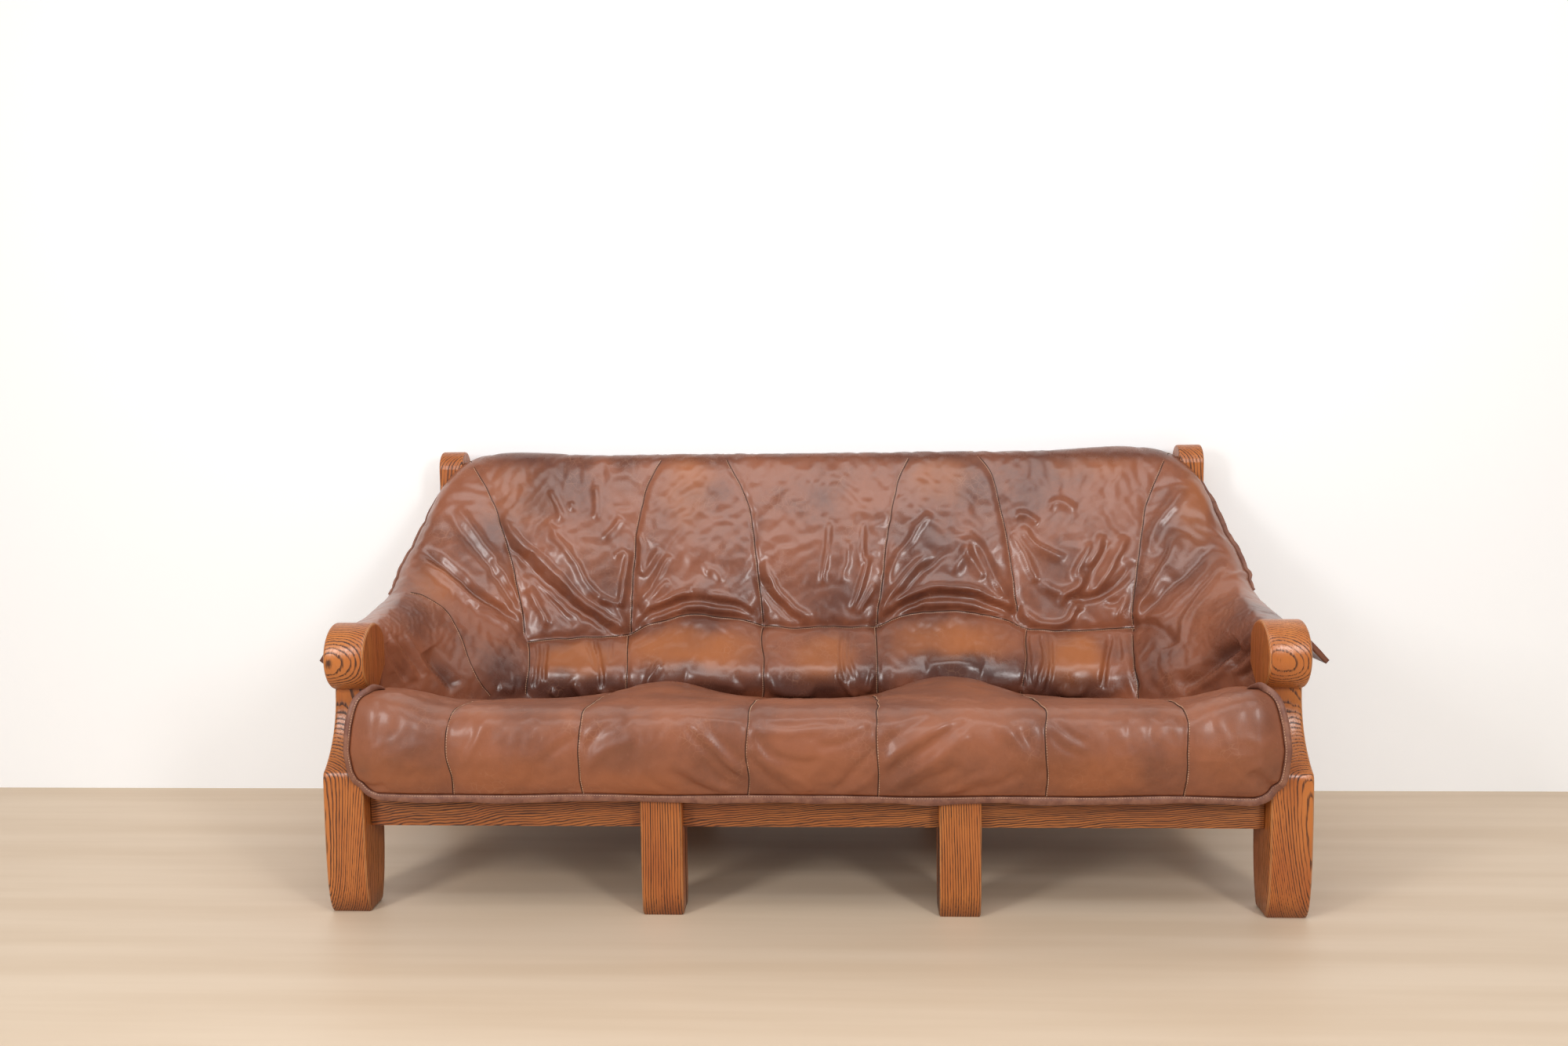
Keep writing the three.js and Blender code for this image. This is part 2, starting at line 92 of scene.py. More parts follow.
class Shade:
    """A shader value that adds, multiplies and compares as in a formula."""

    def __init__(self, tree, socket):
        self.tree = tree
        self.socket = socket

    def node(self, kind, inputs=None, output=0, **settings):
        made = self.tree.nodes.new(kind)
        for setting, value in settings.items():
            setattr(made, setting, value)
        for key, value in (inputs or {}).items():
            if isinstance(value, Shade):
                self.tree.links.new(value.socket, made.inputs[key])
            else:
                made.inputs[key].default_value = value
        return Shade(self.tree, made.outputs[output])

    def maths(self, operation, *values):
        return self.node("ShaderNodeMath", dict(enumerate(values)), operation=operation)

    def __add__(self, other):
        return self.maths("ADD", self, other)

    def __sub__(self, other):
        return self.maths("SUBTRACT", self, other)

    def __mul__(self, other):
        return self.maths("MULTIPLY", self, other)

    def __truediv__(self, other):
        return self.maths("DIVIDE", self, other)

    def __radd__(self, other):
        return self.maths("ADD", other, self)

    def __rsub__(self, other):
        return self.maths("SUBTRACT", other, self)

    def __pow__(self, other):
        return self.maths("POWER", self, other)

    def between(self, low, high):
        """0 below low, 1 above high, smooth between them."""
        values = {0: self, 1: low, 2: high}
        return self.node("ShaderNodeMapRange", values, interpolation_type="SMOOTHSTEP")

    def blend(self, start, end):
        """The colour start where this is 0 and end where it is 1."""
        return self.node("ShaderNodeMix", {0: self, 6: start, 7: end}, output=2, data_type="RGBA")

    def stretched(self, x, y, z):
        """This vector with each axis scaled, to run a texture along a grain."""
        return self.node("ShaderNodeVectorMath", {0: self, 1: (x, y, z)}, operation="MULTIPLY")

    def noise(self, scale, detail=2.0, roughness=0.5):
        values = {"Vector": self, "Scale": scale, "Detail": detail, "Roughness": roughness}
        return self.node("ShaderNodeTexNoise", values)

    def bump(self, strength, distance, under=None):
        values = {"Strength": strength, "Distance": distance, "Height": self}
        if under is not None:
            values["Normal"] = under
        return self.node("ShaderNodeBump", values)


def new_material(name):
    """A material with its shader, and the piece's own coordinates as a Shade."""
    material = bpy.data.materials.new(name)
    material.use_nodes = True
    tree = material.node_tree
    shader = tree.nodes["Principled BSDF"]
    where = Shade(tree, tree.nodes.new("ShaderNodeTexCoord").outputs["Object"])
    return material, shader, where


def finish_with(shader, **values):
    """Sets or links the shader's sockets, named with underscores for spaces."""
    for key, value in values.items():
        socket = shader.inputs[key.replace("_", " ")]
        if isinstance(value, Shade):
            value.tree.links.new(value.socket, socket)
        else:
            socket.default_value = value


floor_material, shader, where = new_material("pale_floor")
boards = where.stretched(0.4, 6.0, 1.0).noise(2.0, 4.0)
pale_boards = boards.between(0.3, 0.7).blend(linear("d6bfa4"), linear("dfcab1"))
finish_with(shader, Base_Color=pale_boards, Roughness=0.5)
corners = [(-6, -6, 0), (6, -6, 0), (6, 6, 0), (-6, 6, 0)]
floor = add_mesh("floor", corners, [(0, 1, 2, 3)], smooth=False)
floor.data.materials.append(floor_material)

# the wall is see-through from behind, so that the sofa's back shows in the views from there
wall_material, shader, where = new_material("white_wall")
from_behind = where.node("ShaderNodeNewGeometry", output=6)
finish_with(shader, Base_Color=linear("f4f4f4"), Roughness=0.9, Emission_Color=linear("ffffff"),
            Emission_Strength=0.19, Alpha=1.0 - from_behind)
wall_behind_feet = 0.835
y_wall = y_front + wall_behind_feet
corners = [(-6, y_wall, 0), (6, y_wall, 0), (6, y_wall, 5), (-6, y_wall, 5)]
wall = add_mesh("wall", corners, [(0, 1, 2, 3)], smooth=False)
wall.data.materials.append(wall_material)

world = bpy.data.worlds.new("white_room")
bpy.context.scene.world = world
world.use_nodes = True
world.node_tree.nodes["Background"].inputs["Color"].default_value = (1.0, 0.99, 0.98, 1.0)
world.node_tree.nodes["Background"].inputs["Strength"].default_value = 0.28


def add_light(name, place, target, width, height, watts):
    """A soft box at place that faces target."""
    data = bpy.data.lights.new(name, "AREA")
    data.shape = "RECTANGLE"
    data.size = width
    data.size_y = height
    data.energy = watts
    light = bpy.data.objects.new(name, data)
    aim = (Vector(target) - Vector(place)).to_track_quat("-Z", "Y")
    light.matrix_world = Matrix.Translation(place) @ aim.to_matrix().to_4x4()
    bpy.context.collection.objects.link(light)


add_light("ceiling_light", (0.0, y_front - 0.9, 2.6), (0, y_front + 0.3, 0.3), 2.6, 1.0, 28)
add_light("window_left", (-2.3, y_front - 2.6, 1.9), (0.1, y_front + 0.4, 0.6), 0.7, 1.3, 50)
add_light("window_right", (2.0, y_front - 2.9, 2.1), (0.1, y_front + 0.4, 0.6), 0.6, 1.2, 48)


# Oak: plain-sawn oak in a warm brown stain, with dark open pores and rubbed, paler edges.
def oak(name, heart, pitch, lie="z", tone=0.0, lean=0.0):
    """Oak whose growth rings are circles about a heart that runs along the axis lie. The heart is
    given by its other two coordinates, at half a metre up where it leans, and pitch is the step from
    ring to ring."""
    material, shader, where = new_material(name)
    split = where.node("ShaderNodeSeparateXYZ", {0: where}).socket.node
    x, y, z = (Shade(where.tree, split.outputs[axis]) for axis in range(3))
    if lie == "x":
        x, z = z, x
    if lie == "y":
        y, z = z, y
    where = where.node("ShaderNodeCombineXYZ", {0: x, 1: y, 2: z})
    drift = where.stretched(1, 1, 0.3)
    middle_height = 0.5
    across = x - heart[0] - (z - middle_height) * lean + (drift.noise(4.0, 2.0) - 0.5) * 0.045
    away = y - heart[1] + z * 0.05 + (where.stretched(1, 1, 0.5).noise(16.0, 3.0) - 0.5) * 0.010
    wander = (where.stretched(1, 1, 0.25).noise(90.0, 2.0) - 0.5) * 0.0016
    rings = ((across * across + away * away) ** 0.5 + wander) / pitch
    ring = rings.maths("FRACT", rings)
    year = where.node("ShaderNodeTexWhiteNoise", {"W": rings.maths("FLOOR", rings)}, noise_dimensions="1D")
    line = 1.0 - ring.between(0.02, 0.40 + year * 0.25)
    line = line + ring.between(0.90, 1.0) * 0.9
    pores = where.stretched(1, 1, 0.045).noise(520.0, 1.0).between(0.50, 0.64)
    flecks = where.stretched(1, 1, 0.06).noise(150.0, 3.0).between(0.35, 0.70)
    late_wood = line * (flecks * 0.4 + 0.6) * (0.70 + year * 0.7)
    grain = late_wood + pores * line * 0.5 + pores * 0.16 + tone
    patches = where.stretched(1, 1, 0.4).noise(9.0, 4.0).between(0.3, 0.75)
    wood = patches.blend(linear("c67737"), linear("aa5926"))
    stained = grain.between(0.05, 1.0).blend(wood, linear("4e2711"))
    edge = where.node("ShaderNodeAttribute", {}, attribute_name="rubbed", output=2)
    rubbed = (edge * 1.1 - 1.0 + where.noise(40.0, 5.0, 0.7) * 1.1).between(0.1, 0.8)
    colour = (rubbed * 0.45).blend(stained, linear("cf9660"))
    if lie == "z":
        # upright pieces are darker towards the floor, over their lowest 5 cm
        lower_darkening = 1.0 - z.between(0.0, 0.05)
        colour = (lower_darkening * 0.45).blend(colour, linear("3a1f12"))
    relief = (line + pores).bump(0.35, 0.0006)
    finish_with(shader, Base_Color=colour, Roughness=0.30 + grain.between(0.0, 1.0) * 0.28, Normal=relief,
                Coat_Weight=0.15, Coat_Roughness=0.2)
    return material


def bezier(*points, steps=8):
    """Points of a quadratic or cubic curve, without its last point."""
    share = np.linspace(0, 1, steps, endpoint=False)[:, None]
    points = np.array(points, float)
    while len(points) > 1:
        points = [points[i] * (1 - share) + points[i + 1] * share for i in range(len(points) - 1)]
    return [tuple(p) for p in points[0]]


def arc(centre, radius, start, end, steps):
    """Points of an arc, angles in half turns."""
    angles = np.linspace(start, end, steps) * math.pi
    return [(centre[0] + radius * math.cos(a), centre[1] + radius * math.sin(a)) for a in angles]


def plank(name, outline, low, high, rounding, material):
    """A plank cut to a side outline of (y, z), from x = low to high, with its edges rounded over."""
    outline = np.array(outline, float)
    outline[:, 0] += y_front
    before = outline - np.roll(outline, 1, axis=0)
    after = np.roll(outline, -1, axis=0) - outline
    before /= np.linalg.norm(before, axis=1)[:, None]
    after /= np.linalg.norm(after, axis=1)[:, None]
    inward = before + after
    inward = np.stack([-inward[:, 1], inward[:, 0]], axis=1)
    inward /= np.linalg.norm(inward, axis=1)[:, None]
    turned = np.sum(inward * np.stack([-before[:, 1], before[:, 0]], axis=1), axis=1)
    inward /= np.maximum(turned, 0.5)[:, None]
    area = np.sum(outline[:, 0] * np.roll(outline[:, 1], -1) - outline[:, 1] * np.roll(outline[:, 0], -1))
    if area < 0:
        inward = -inward
    steps = 5
    quarter = []
    for k in range(steps + 1):
        turn = math.pi / 2 * k / steps
        quarter.append((rounding * (1 - math.cos(turn)), rounding * (1 - math.sin(turn)), math.sin(2 * turn)))
    rings = [(low, rounding * 1.35, 0.0)]
    rings += [(low + inset, shrink, worn) for inset, shrink, worn in quarter]
    length = high - low - 2 * rounding
    rings += [(low + rounding + length * share, 0.0, 0.0) for share in (0.25, 0.5, 0.75)]
    rings += [(high - inset, shrink, worn) for inset, shrink, worn in quarter[::-1]]
    rings += [(high, rounding * 1.35, 0.0)]
    count = len(outline)
    vertices = []
    rubbed = []
    for x, shrink, worn in rings:
        ring = outline + inward * shrink
        vertices += [(x, y, z) for y, z in ring]
        rubbed += [worn] * count
    faces = []
    for k in range(len(rings) - 1):
        for i in range(count):
            j = (i + 1) % count
            quad = (k * count + i, k * count + j, (k + 1) * count + j, (k + 1) * count + i)
            faces.append(quad if area < 0 else quad[::-1])
    first = list(range(count))
    last = [(len(rings) - 1) * count + i for i in range(count)]
    faces.append(first[::-1] if area < 0 else first)
    faces.append(last if area < 0 else last[::-1])
    piece = add_mesh(name, vertices, faces)
    piece.data.attributes.new("rubbed", "FLOAT", "POINT").data.foreach_set("value", rubbed)
    piece.data.set_sharp_from_angle(angle=math.radians(40))
    piece.data.materials.append(material)
    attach(piece, "root")
    return piece


# Front posts: each is one thick plank, with a broad rounded foot, a shoulder worn pale, a
# scooped neck and a drum-shaped knob that ends the arm.
def front_post_outline():
    """Side outline of a front post: up the front of its foot, round the knob and down its back."""
    outline = bezier((0.022, 0.0), (0.008, 0.014), (0.002, 0.06))
    outline += bezier((0.002, 0.06), (-0.005, 0.12), (0.001, 0.270), steps=12)
    outline += bezier((0.001, 0.270), (0.002, 0.291), (0.012, 0.294), steps=5)
    outline += bezier((0.012, 0.294), (0.045, 0.318), (0.080, 0.36), (0.084, 0.425), steps=16)
    outline += arc((0.097, 0.504), 0.067, 1.44, 0.16, steps=44)
    outline += [(0.157, 0.534), (0.157, 0.474), (0.116, 0.436)]
    outline += bezier((0.112, 0.430), (0.112, 0.28), (0.112, 0.14), steps=8)
    outline += bezier((0.112, 0.14), (0.106, 0.04), (0.084, 0.0), steps=10)
    outline += [(0.082, 0.0)]
    return outline


for label, heart_x, lean, tone in (("left", -0.940, 0.13, 0.04), ("right", 0.906, -0.20, -0.10)):
    low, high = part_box(f"front_post_{label}")
    wood = oak(f"oak_post_{label}", (heart_x, y_front - 0.035), pitch=0.0042, tone=tone, lean=lean)
    post = plank(f"shaped_front_post_{label}", front_post_outline(), low.x, high.x, 0.007, wood)
    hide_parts(f"front_post_{label}")


# Middle front legs: short blocks of the same oak with the same rounded feet. Each is slotted
# over the front rail from below and glued.
def middle_leg_outline():
    """Side outline of a middle leg, with the slot for the rail cut into its top."""
    front = 0.003
    back = 0.089
    outline = bezier((front + 0.012, 0.0), (front + 0.003, 0.014), (front, 0.06))
    outline += [(front, 0.12), (front, 0.2), (front, 0.266), (0.0337, 0.266), (0.0337, 0.1727)]
    outline += [(0.0623, 0.1727), (0.0623, 0.233), (back, 0.233), (back, 0.15)]
    outline += bezier((back, 0.06), (back - 0.003, 0.014), (back - 0.012, 0.0))
    return outline + [(back - 0.012, 0.0)]


for label, side in (("left", -1), ("right", 1)):
    low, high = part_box(f"middle_leg_front_{label}")
    heart = ((low.x + high.x) / 2 + 0.15 * side, y_front + 0.02)
    leg_oak = oak(f"oak_leg_{label}", heart, pitch=0.0052, tone=0.04)
    leg = plank(f"shaped_middle_leg_{label}", middle_leg_outline(), low.x, high.x, 0.006, leg_oak)
    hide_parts(f"middle_leg_front_{label}")

# The rest of the frame: back posts, rails, rear legs and bearers of the same oak, each with its
# grain along its length.
upright_oak = oak("oak_upright", (0.0, y_front - 0.4), pitch=0.005)
crosswise_oak = oak("oak_crosswise", (0.08, y_front + 0.25), pitch=0.0021, lie="x", tone=0.34)
deepwise_oak = oak("oak_deepwise", (1.1, 0.1), pitch=0.0045, lie="y")
for name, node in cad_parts.items():
    if node.hide_render or "pad" in name or "strap" in name or "bolt" in name:
        continue
    lies_across = name in ("front_rail", "rear_rail", "back_lower_rail", "back_top_rail")
    lies_deep = name.startswith(("arm_rail", "side_rail", "cross_bearer"))
    node.data.materials.clear()
    node.data.materials.append(crosswise_oak if lies_across else deepwise_oak if lies_deep else upright_oak)
    node.data.set_sharp_from_angle(angle=math.radians(35))

# Webbing and bolts: coarse woven straps, faded, nailed to the rails under the seat and up the
# back. Dull zinc-plated bolts hold the back posts to the arm rails and side rails.
webbing, shader, where = new_material("jute_webbing")
weave = where.node("ShaderNodeTexChecker", {"Vector": where, "Scale": 420.0}, output=1)
finish_with(shader, Base_Color=(weave * 0.5).blend(linear("5d4a35"), linear("3d3022")), Roughness=0.9)
zinc, shader, where = new_material("zinc")
finish_with(shader, Base_Color=linear("8f8c86"), Metallic=1.0, Roughness=where.noise(300.0) * 0.3 + 0.3)
for name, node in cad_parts.items():
    if "strap" in name or "bolt" in name:
        node.data.materials.clear()
        node.data.materials.append(webbing if "strap" in name else zinc)


# Back pad: one thick leather cover over wadding, quilted into panels. It is bent round the seat,
# hangs over the arm rails and the top rail, and ends in a loose hem.

# the lines that the pad is stretched over, from its foot up over the rails to its hem: each has
# the padding's depth, then its run from the front end of an arm to the middle of the back, as
# (distance from the middle plane, depth, height)
pad_lines = [
    (0.050, [(0.892, 0.163, 0.398), (0.834, 0.250, 0.368), (0.770, 0.345, 0.343), (0.707, 0.420, 0.325),
             (0.645, 0.475, 0.313), (0.540, 0.498, 0.310), (0.300, 0.500, 0.312), (0.0, 0.500, 0.312)]),
    (0.050, [(0.892, 0.163, 0.440), (0.836, 0.262, 0.425), (0.780, 0.360, 0.405), (0.718, 0.440, 0.390),
             (0.648, 0.482, 0.380), (0.540, 0.486, 0.374), (0.300, 0.486, 0.374), (0.0, 0.486, 0.374)]),
    (0.050, [(0.886, 0.163, 0.480), (0.848, 0.270, 0.470), (0.812, 0.375, 0.462), (0.765, 0.470, 0.460),
             (0.695, 0.545, 0.462), (0.560, 0.568, 0.465), (0.300, 0.570, 0.467), (0.0, 0.570, 0.466)]),
    (0.042, [(0.884, 0.163, 0.512), (0.868, 0.265, 0.514), (0.862, 0.375, 0.525), (0.852, 0.475, 0.548),
             (0.815, 0.560, 0.600), (0.705, 0.632, 0.650), (0.400, 0.645, 0.655), (0.0, 0.645, 0.655)]),
    (0.016, [(0.893, 0.163, 0.545), (0.900, 0.265, 0.550), (0.906, 0.375, 0.562), (0.916, 0.465, 0.585),
             (0.912, 0.575, 0.668), (0.822, 0.700, 0.815), (0.500, 0.722, 0.838), (0.0, 0.724, 0.838)]),
    (0.014, [(0.925, 0.163, 0.556), (0.930, 0.265, 0.560), (0.936, 0.375, 0.572), (0.946, 0.465, 0.594),
             (0.944, 0.590, 0.676), (0.850, 0.750, 0.862), (0.500, 0.764, 0.870), (0.0, 0.766, 0.870)]),
    (0.012, [(0.982, 0.162, 0.532), (0.980, 0.265, 0.538), (0.980, 0.375, 0.548), (0.978, 0.472, 0.568),
             (0.967, 0.605, 0.650), (0.872, 0.788, 0.828), (0.560, 0.804, 0.842), (0.0, 0.806, 0.842)]),
    (0.010, [(1.022, 0.166, 0.480), (1.004, 0.265, 0.486), (0.992, 0.375, 0.494), (0.984, 0.480, 0.512),
             (0.973, 0.630, 0.600), (0.878, 0.806, 0.742), (0.560, 0.814, 0.742), (0.0, 0.814, 0.742)]),
]


def through(points, share):
    """Points of a smooth curve through the given points (the first axis) at shares of its run."""
    points = np.asarray(points, float)
    ends = [2 * points[0] - points[1]], [2 * points[-1] - points[-2]]
    padded = np.concatenate([ends[0], points, ends[1]])
    place = np.clip(share, 0, 1) * (len(points) - 1)
    index = np.minimum(place.astype(int), len(points) - 2)
    w = (place - index).reshape((-1,) + (1,) * (points.ndim - 1))
    a, b, c, d = (padded[index + k] for k in range(4))
    start, end = (c - a) / 2, (d - b) / 2
    cubic = (2 * b - 2 * c + start + end) * w ** 3
    return cubic + (-3 * b + 3 * c - 2 * start - end) * w ** 2 + start * w + b


def evenly(points, count):
    """The count shares at which a curve is cut into equal lengths."""
    dense = np.linspace(0, 1, 2000)
    run = through(points, dense)
    lengths = np.concatenate([[0], np.cumsum(np.linalg.norm(np.diff(run, axis=0), axis=1))])
    return np.interp(np.linspace(0, lengths[-1], count), lengths, dense)


def noise_field(seed, x, y, size):
    """Smooth random values about 0, from -1 to 1, whose lumps are about size across."""
    lattice = np.random.RandomState(seed).uniform(-1, 1, (97, 97))
    x, y = x / size + 31.7, y / size + 17.3
    i, j = np.floor(x).astype(int), np.floor(y).astype(int)
    u, v = x - i, y - j
    u, v = u * u * (3 - 2 * u), v * v * (3 - 2 * v)
    i, j, next_i, next_j = i % 97, j % 97, (i + 1) % 97, (j + 1) % 97
    low = lattice[i, j] * (1 - u) + lattice[next_i, j] * u
    high = lattice[i, next_j] * (1 - u) + lattice[next_i, next_j] * u
    return low * (1 - v) + high * v


def along_curve(points, x, y):
    """Signed distance from each (x, y) to a curve through points, and the share of the curve there.
    The distance is positive on the left of the curve's run."""
    run = through(points, np.linspace(0, 1, 6 * len(points)))
    nearest = np.full(x.shape, 1e9)
    share = np.zeros(x.shape)
    steps = len(run) - 1
    for k in range(steps):
        step = run[k + 1] - run[k]
        length = np.hypot(*step)
        if length < 1e-9:
            continue
        dx, dy = x - run[k][0], y - run[k][1]
        t = np.clip((dx * step[0] + dy * step[1]) / length ** 2, 0, 1)
        offset = np.hypot(dx - t * step[0], dy - t * step[1])
        signed = np.copysign(offset, step[0] * dy - step[1] * dx)
        closer = offset < np.abs(nearest)
        nearest = np.where(closer, signed, nearest)
        share = np.where(closer, (k + t) / steps, share)
    return nearest, share


class Relief:
    """The height of a quilted cover over its smooth base, drawn as folds, seams and swellings in
    millimetres on an upright plane in front of it."""

    def __init__(self, x, z):
        self.x, self.z = x, z
        self.height = np.zeros(x.shape)

    def fold(self, points, height, width, sharp=0.0):
        """A rounded fold, or a crease where height is below 0, that fades out at its ends."""
        points = np.array(points, float) / 1000
        away, share = along_curve(points, self.x, self.z)
        width = width / 1000
        side = np.where(away > 0, width * (1 - sharp), width * (1 + sharp))
        fade = np.minimum(share / 0.22, 1) * np.minimum((1 - share) / 0.22, 1)
        fade = np.clip(fade, 0, 1)
        self.height += height / 1000 * np.exp(-(away / side) ** 2) * fade * (2 - fade)

    def groove(self, points, depth, width):
        """A stitched seam: a narrow valley, its depth and width in metres given at both ends."""
        points = np.array(points, float) / 1000
        away, share = along_curve(points, self.x, self.z)
        deep = depth[0] + (depth[1] - depth[0]) * share ** 2
        wide = width[0] + (width[1] - width[0]) * share
        self.height -= deep * np.exp(-np.abs(away) / wide)

    def mound(self, centre, size, height):
        """A soft swelling, or a hollow where height is below 0."""
        x = (self.x - centre[0] / 1000) / (size[0] / 1000)
        z = (self.z - centre[1] / 1000) / (size[1] / 1000)
        self.height += height / 1000 * np.exp(-(x * x + z * z))


def stains(x, z, spots):
    """A patchwork of soft-edged spots in millimetres, for colour that varies over a cover."""
    frayed_x = x + 0.012 * noise_field(5, x, z, 0.05)
    frayed_z = z + 0.012 * noise_field(6, x, z, 0.05)
    value = np.zeros(x.shape)
    for centre, size, strength in spots:
        u = (frayed_x - centre[0] / 1000) / (size[0] / 1000)
        v = (frayed_z - centre[1] / 1000) / (size[1] / 1000)
        inside = np.clip((1.6 - np.sqrt(u * u + v * v)) / 1.3, 0, 1)
        value += strength * inside * inside * (3 - 2 * inside)
    return value


def drawn(points):
    """Where points show on an upright plane 0.5 m behind the feet, to an eye in front of the sofa."""
    depth = 0.5
    reach = (depth + y_front - eye.y) / (points[..., 1] - eye.y)
    return eye.x + (points[..., 0] - eye.x) * reach, eye.z + (points[..., 2] - eye.z) * reach


stations, rows = 520, 150
lines = np.array([[(-x, y, z) for x, y, z in points] + points[-2::-1] for depth, points in pad_lines])
right_flap = (0.016, 0.0, -0.004)
lines[-1, -1] += right_flap
along = evenly(lines[3], stations)
up = evenly(lines[:, 7], rows)
base = through(np.stack([through(line, along) for line in lines]), up)
base[..., 1] += y_front
base = base.transpose(1, 0, 2)


def normals_of(grid):
    """The outward direction at each point of a cover's grid."""
    sideways = np.gradient(grid, axis=0)
    rising = np.gradient(grid, axis=1)
    normal = np.cross(sideways, rising)
    return normal / np.maximum(np.linalg.norm(normal, axis=-1), 1e-9)[..., None]


pad_normals = normals_of(base)
x, z = drawn(base)
warp_x = x + 0.004 * noise_field(1, x, z, 0.06) + 0.0015 * noise_field(2, x, z, 0.02)
warp_z = z + 0.004 * noise_field(3, x, z, 0.06) + 0.0015 * noise_field(4, x, z, 0.02)
relief = Relief(warp_x, warp_z)

back_seams = [
    [(-788, 885), (-740, 790), (-708, 690), (-688, 600), (-668, 476)],
    [(-334, 888), (-374, 820), (-402, 730), (-416, 620), (-424, 478)],
    [(-207, 890), (-158, 800), (-136, 700), (-126, 600), (-120, 496)],
    [(228, 892), (190, 815), (168, 700), (156, 600), (144, 496)],
    [(345, 895), (400, 830), (430, 720), (446, 620), (458, 520)],
    [(800, 892), (756, 790), (732, 680), (720, 580), (714, 492)],
]
lumbar_seam = [(-661, 461), (-610, 462), (-554, 464), (-490, 468), (-424, 476), (-385, 492),
               (-345, 506), (-298, 514), (-231, 514), (-170, 505), (-119, 494), (-60, 488), (-4, 487),
               (70, 489), (144, 494), (190, 508), (235, 518), (308, 524), (370, 518), (431, 503),
               (489, 480), (555, 478), (640, 481), (714, 489)]
lower_seams = [
    [(-660, 455), (-665, 400), (-672, 330)],
    [(-430, 470), (-434, 400), (-436, 330)],
    [(-119, 488), (-120, 400), (-122, 320)],
    [(140, 488), (140, 410), (142, 330)],
    [(482, 476), (478, 400), (470, 320)],
    [(714, 485), (722, 400), (732, 315)],
]

# swellings of the wadding: the lumbar roll, fuller where the seam arches, and the upper panels
for centre, size, height in [
    ((-545, 395), (110, 70), 12), ((-285, 415), (150, 85), 20), ((10, 400), (110, 75), 12),
    ((310, 425), (165, 85), 22), ((600, 395), (110, 75), 14), ((-760, 420), (70, 60), 8),
    ((780, 420), (60, 70), 10), ((-560, 640), (110, 150), 10), ((-275, 650), (110, 130), 12),
    ((15, 650), (110, 150), 10), ((300, 660), (110, 130), 14), ((590, 660), (120, 160), 10),
    ((-280, 560), (140, 30), 8), ((305, 568), (150, 32), 10),
]:
    relief.mound(centre, size, height)

for seam in back_seams:
    relief.groove(seam, (0.0035, 0.016), (0.007, 0.016))
relief.groove(lumbar_seam, (0.016, 0.016), (0.014, 0.014))
for seam in lower_seams:
    relief.groove(seam, (0.006, 0.006), (0.007, 0.008))

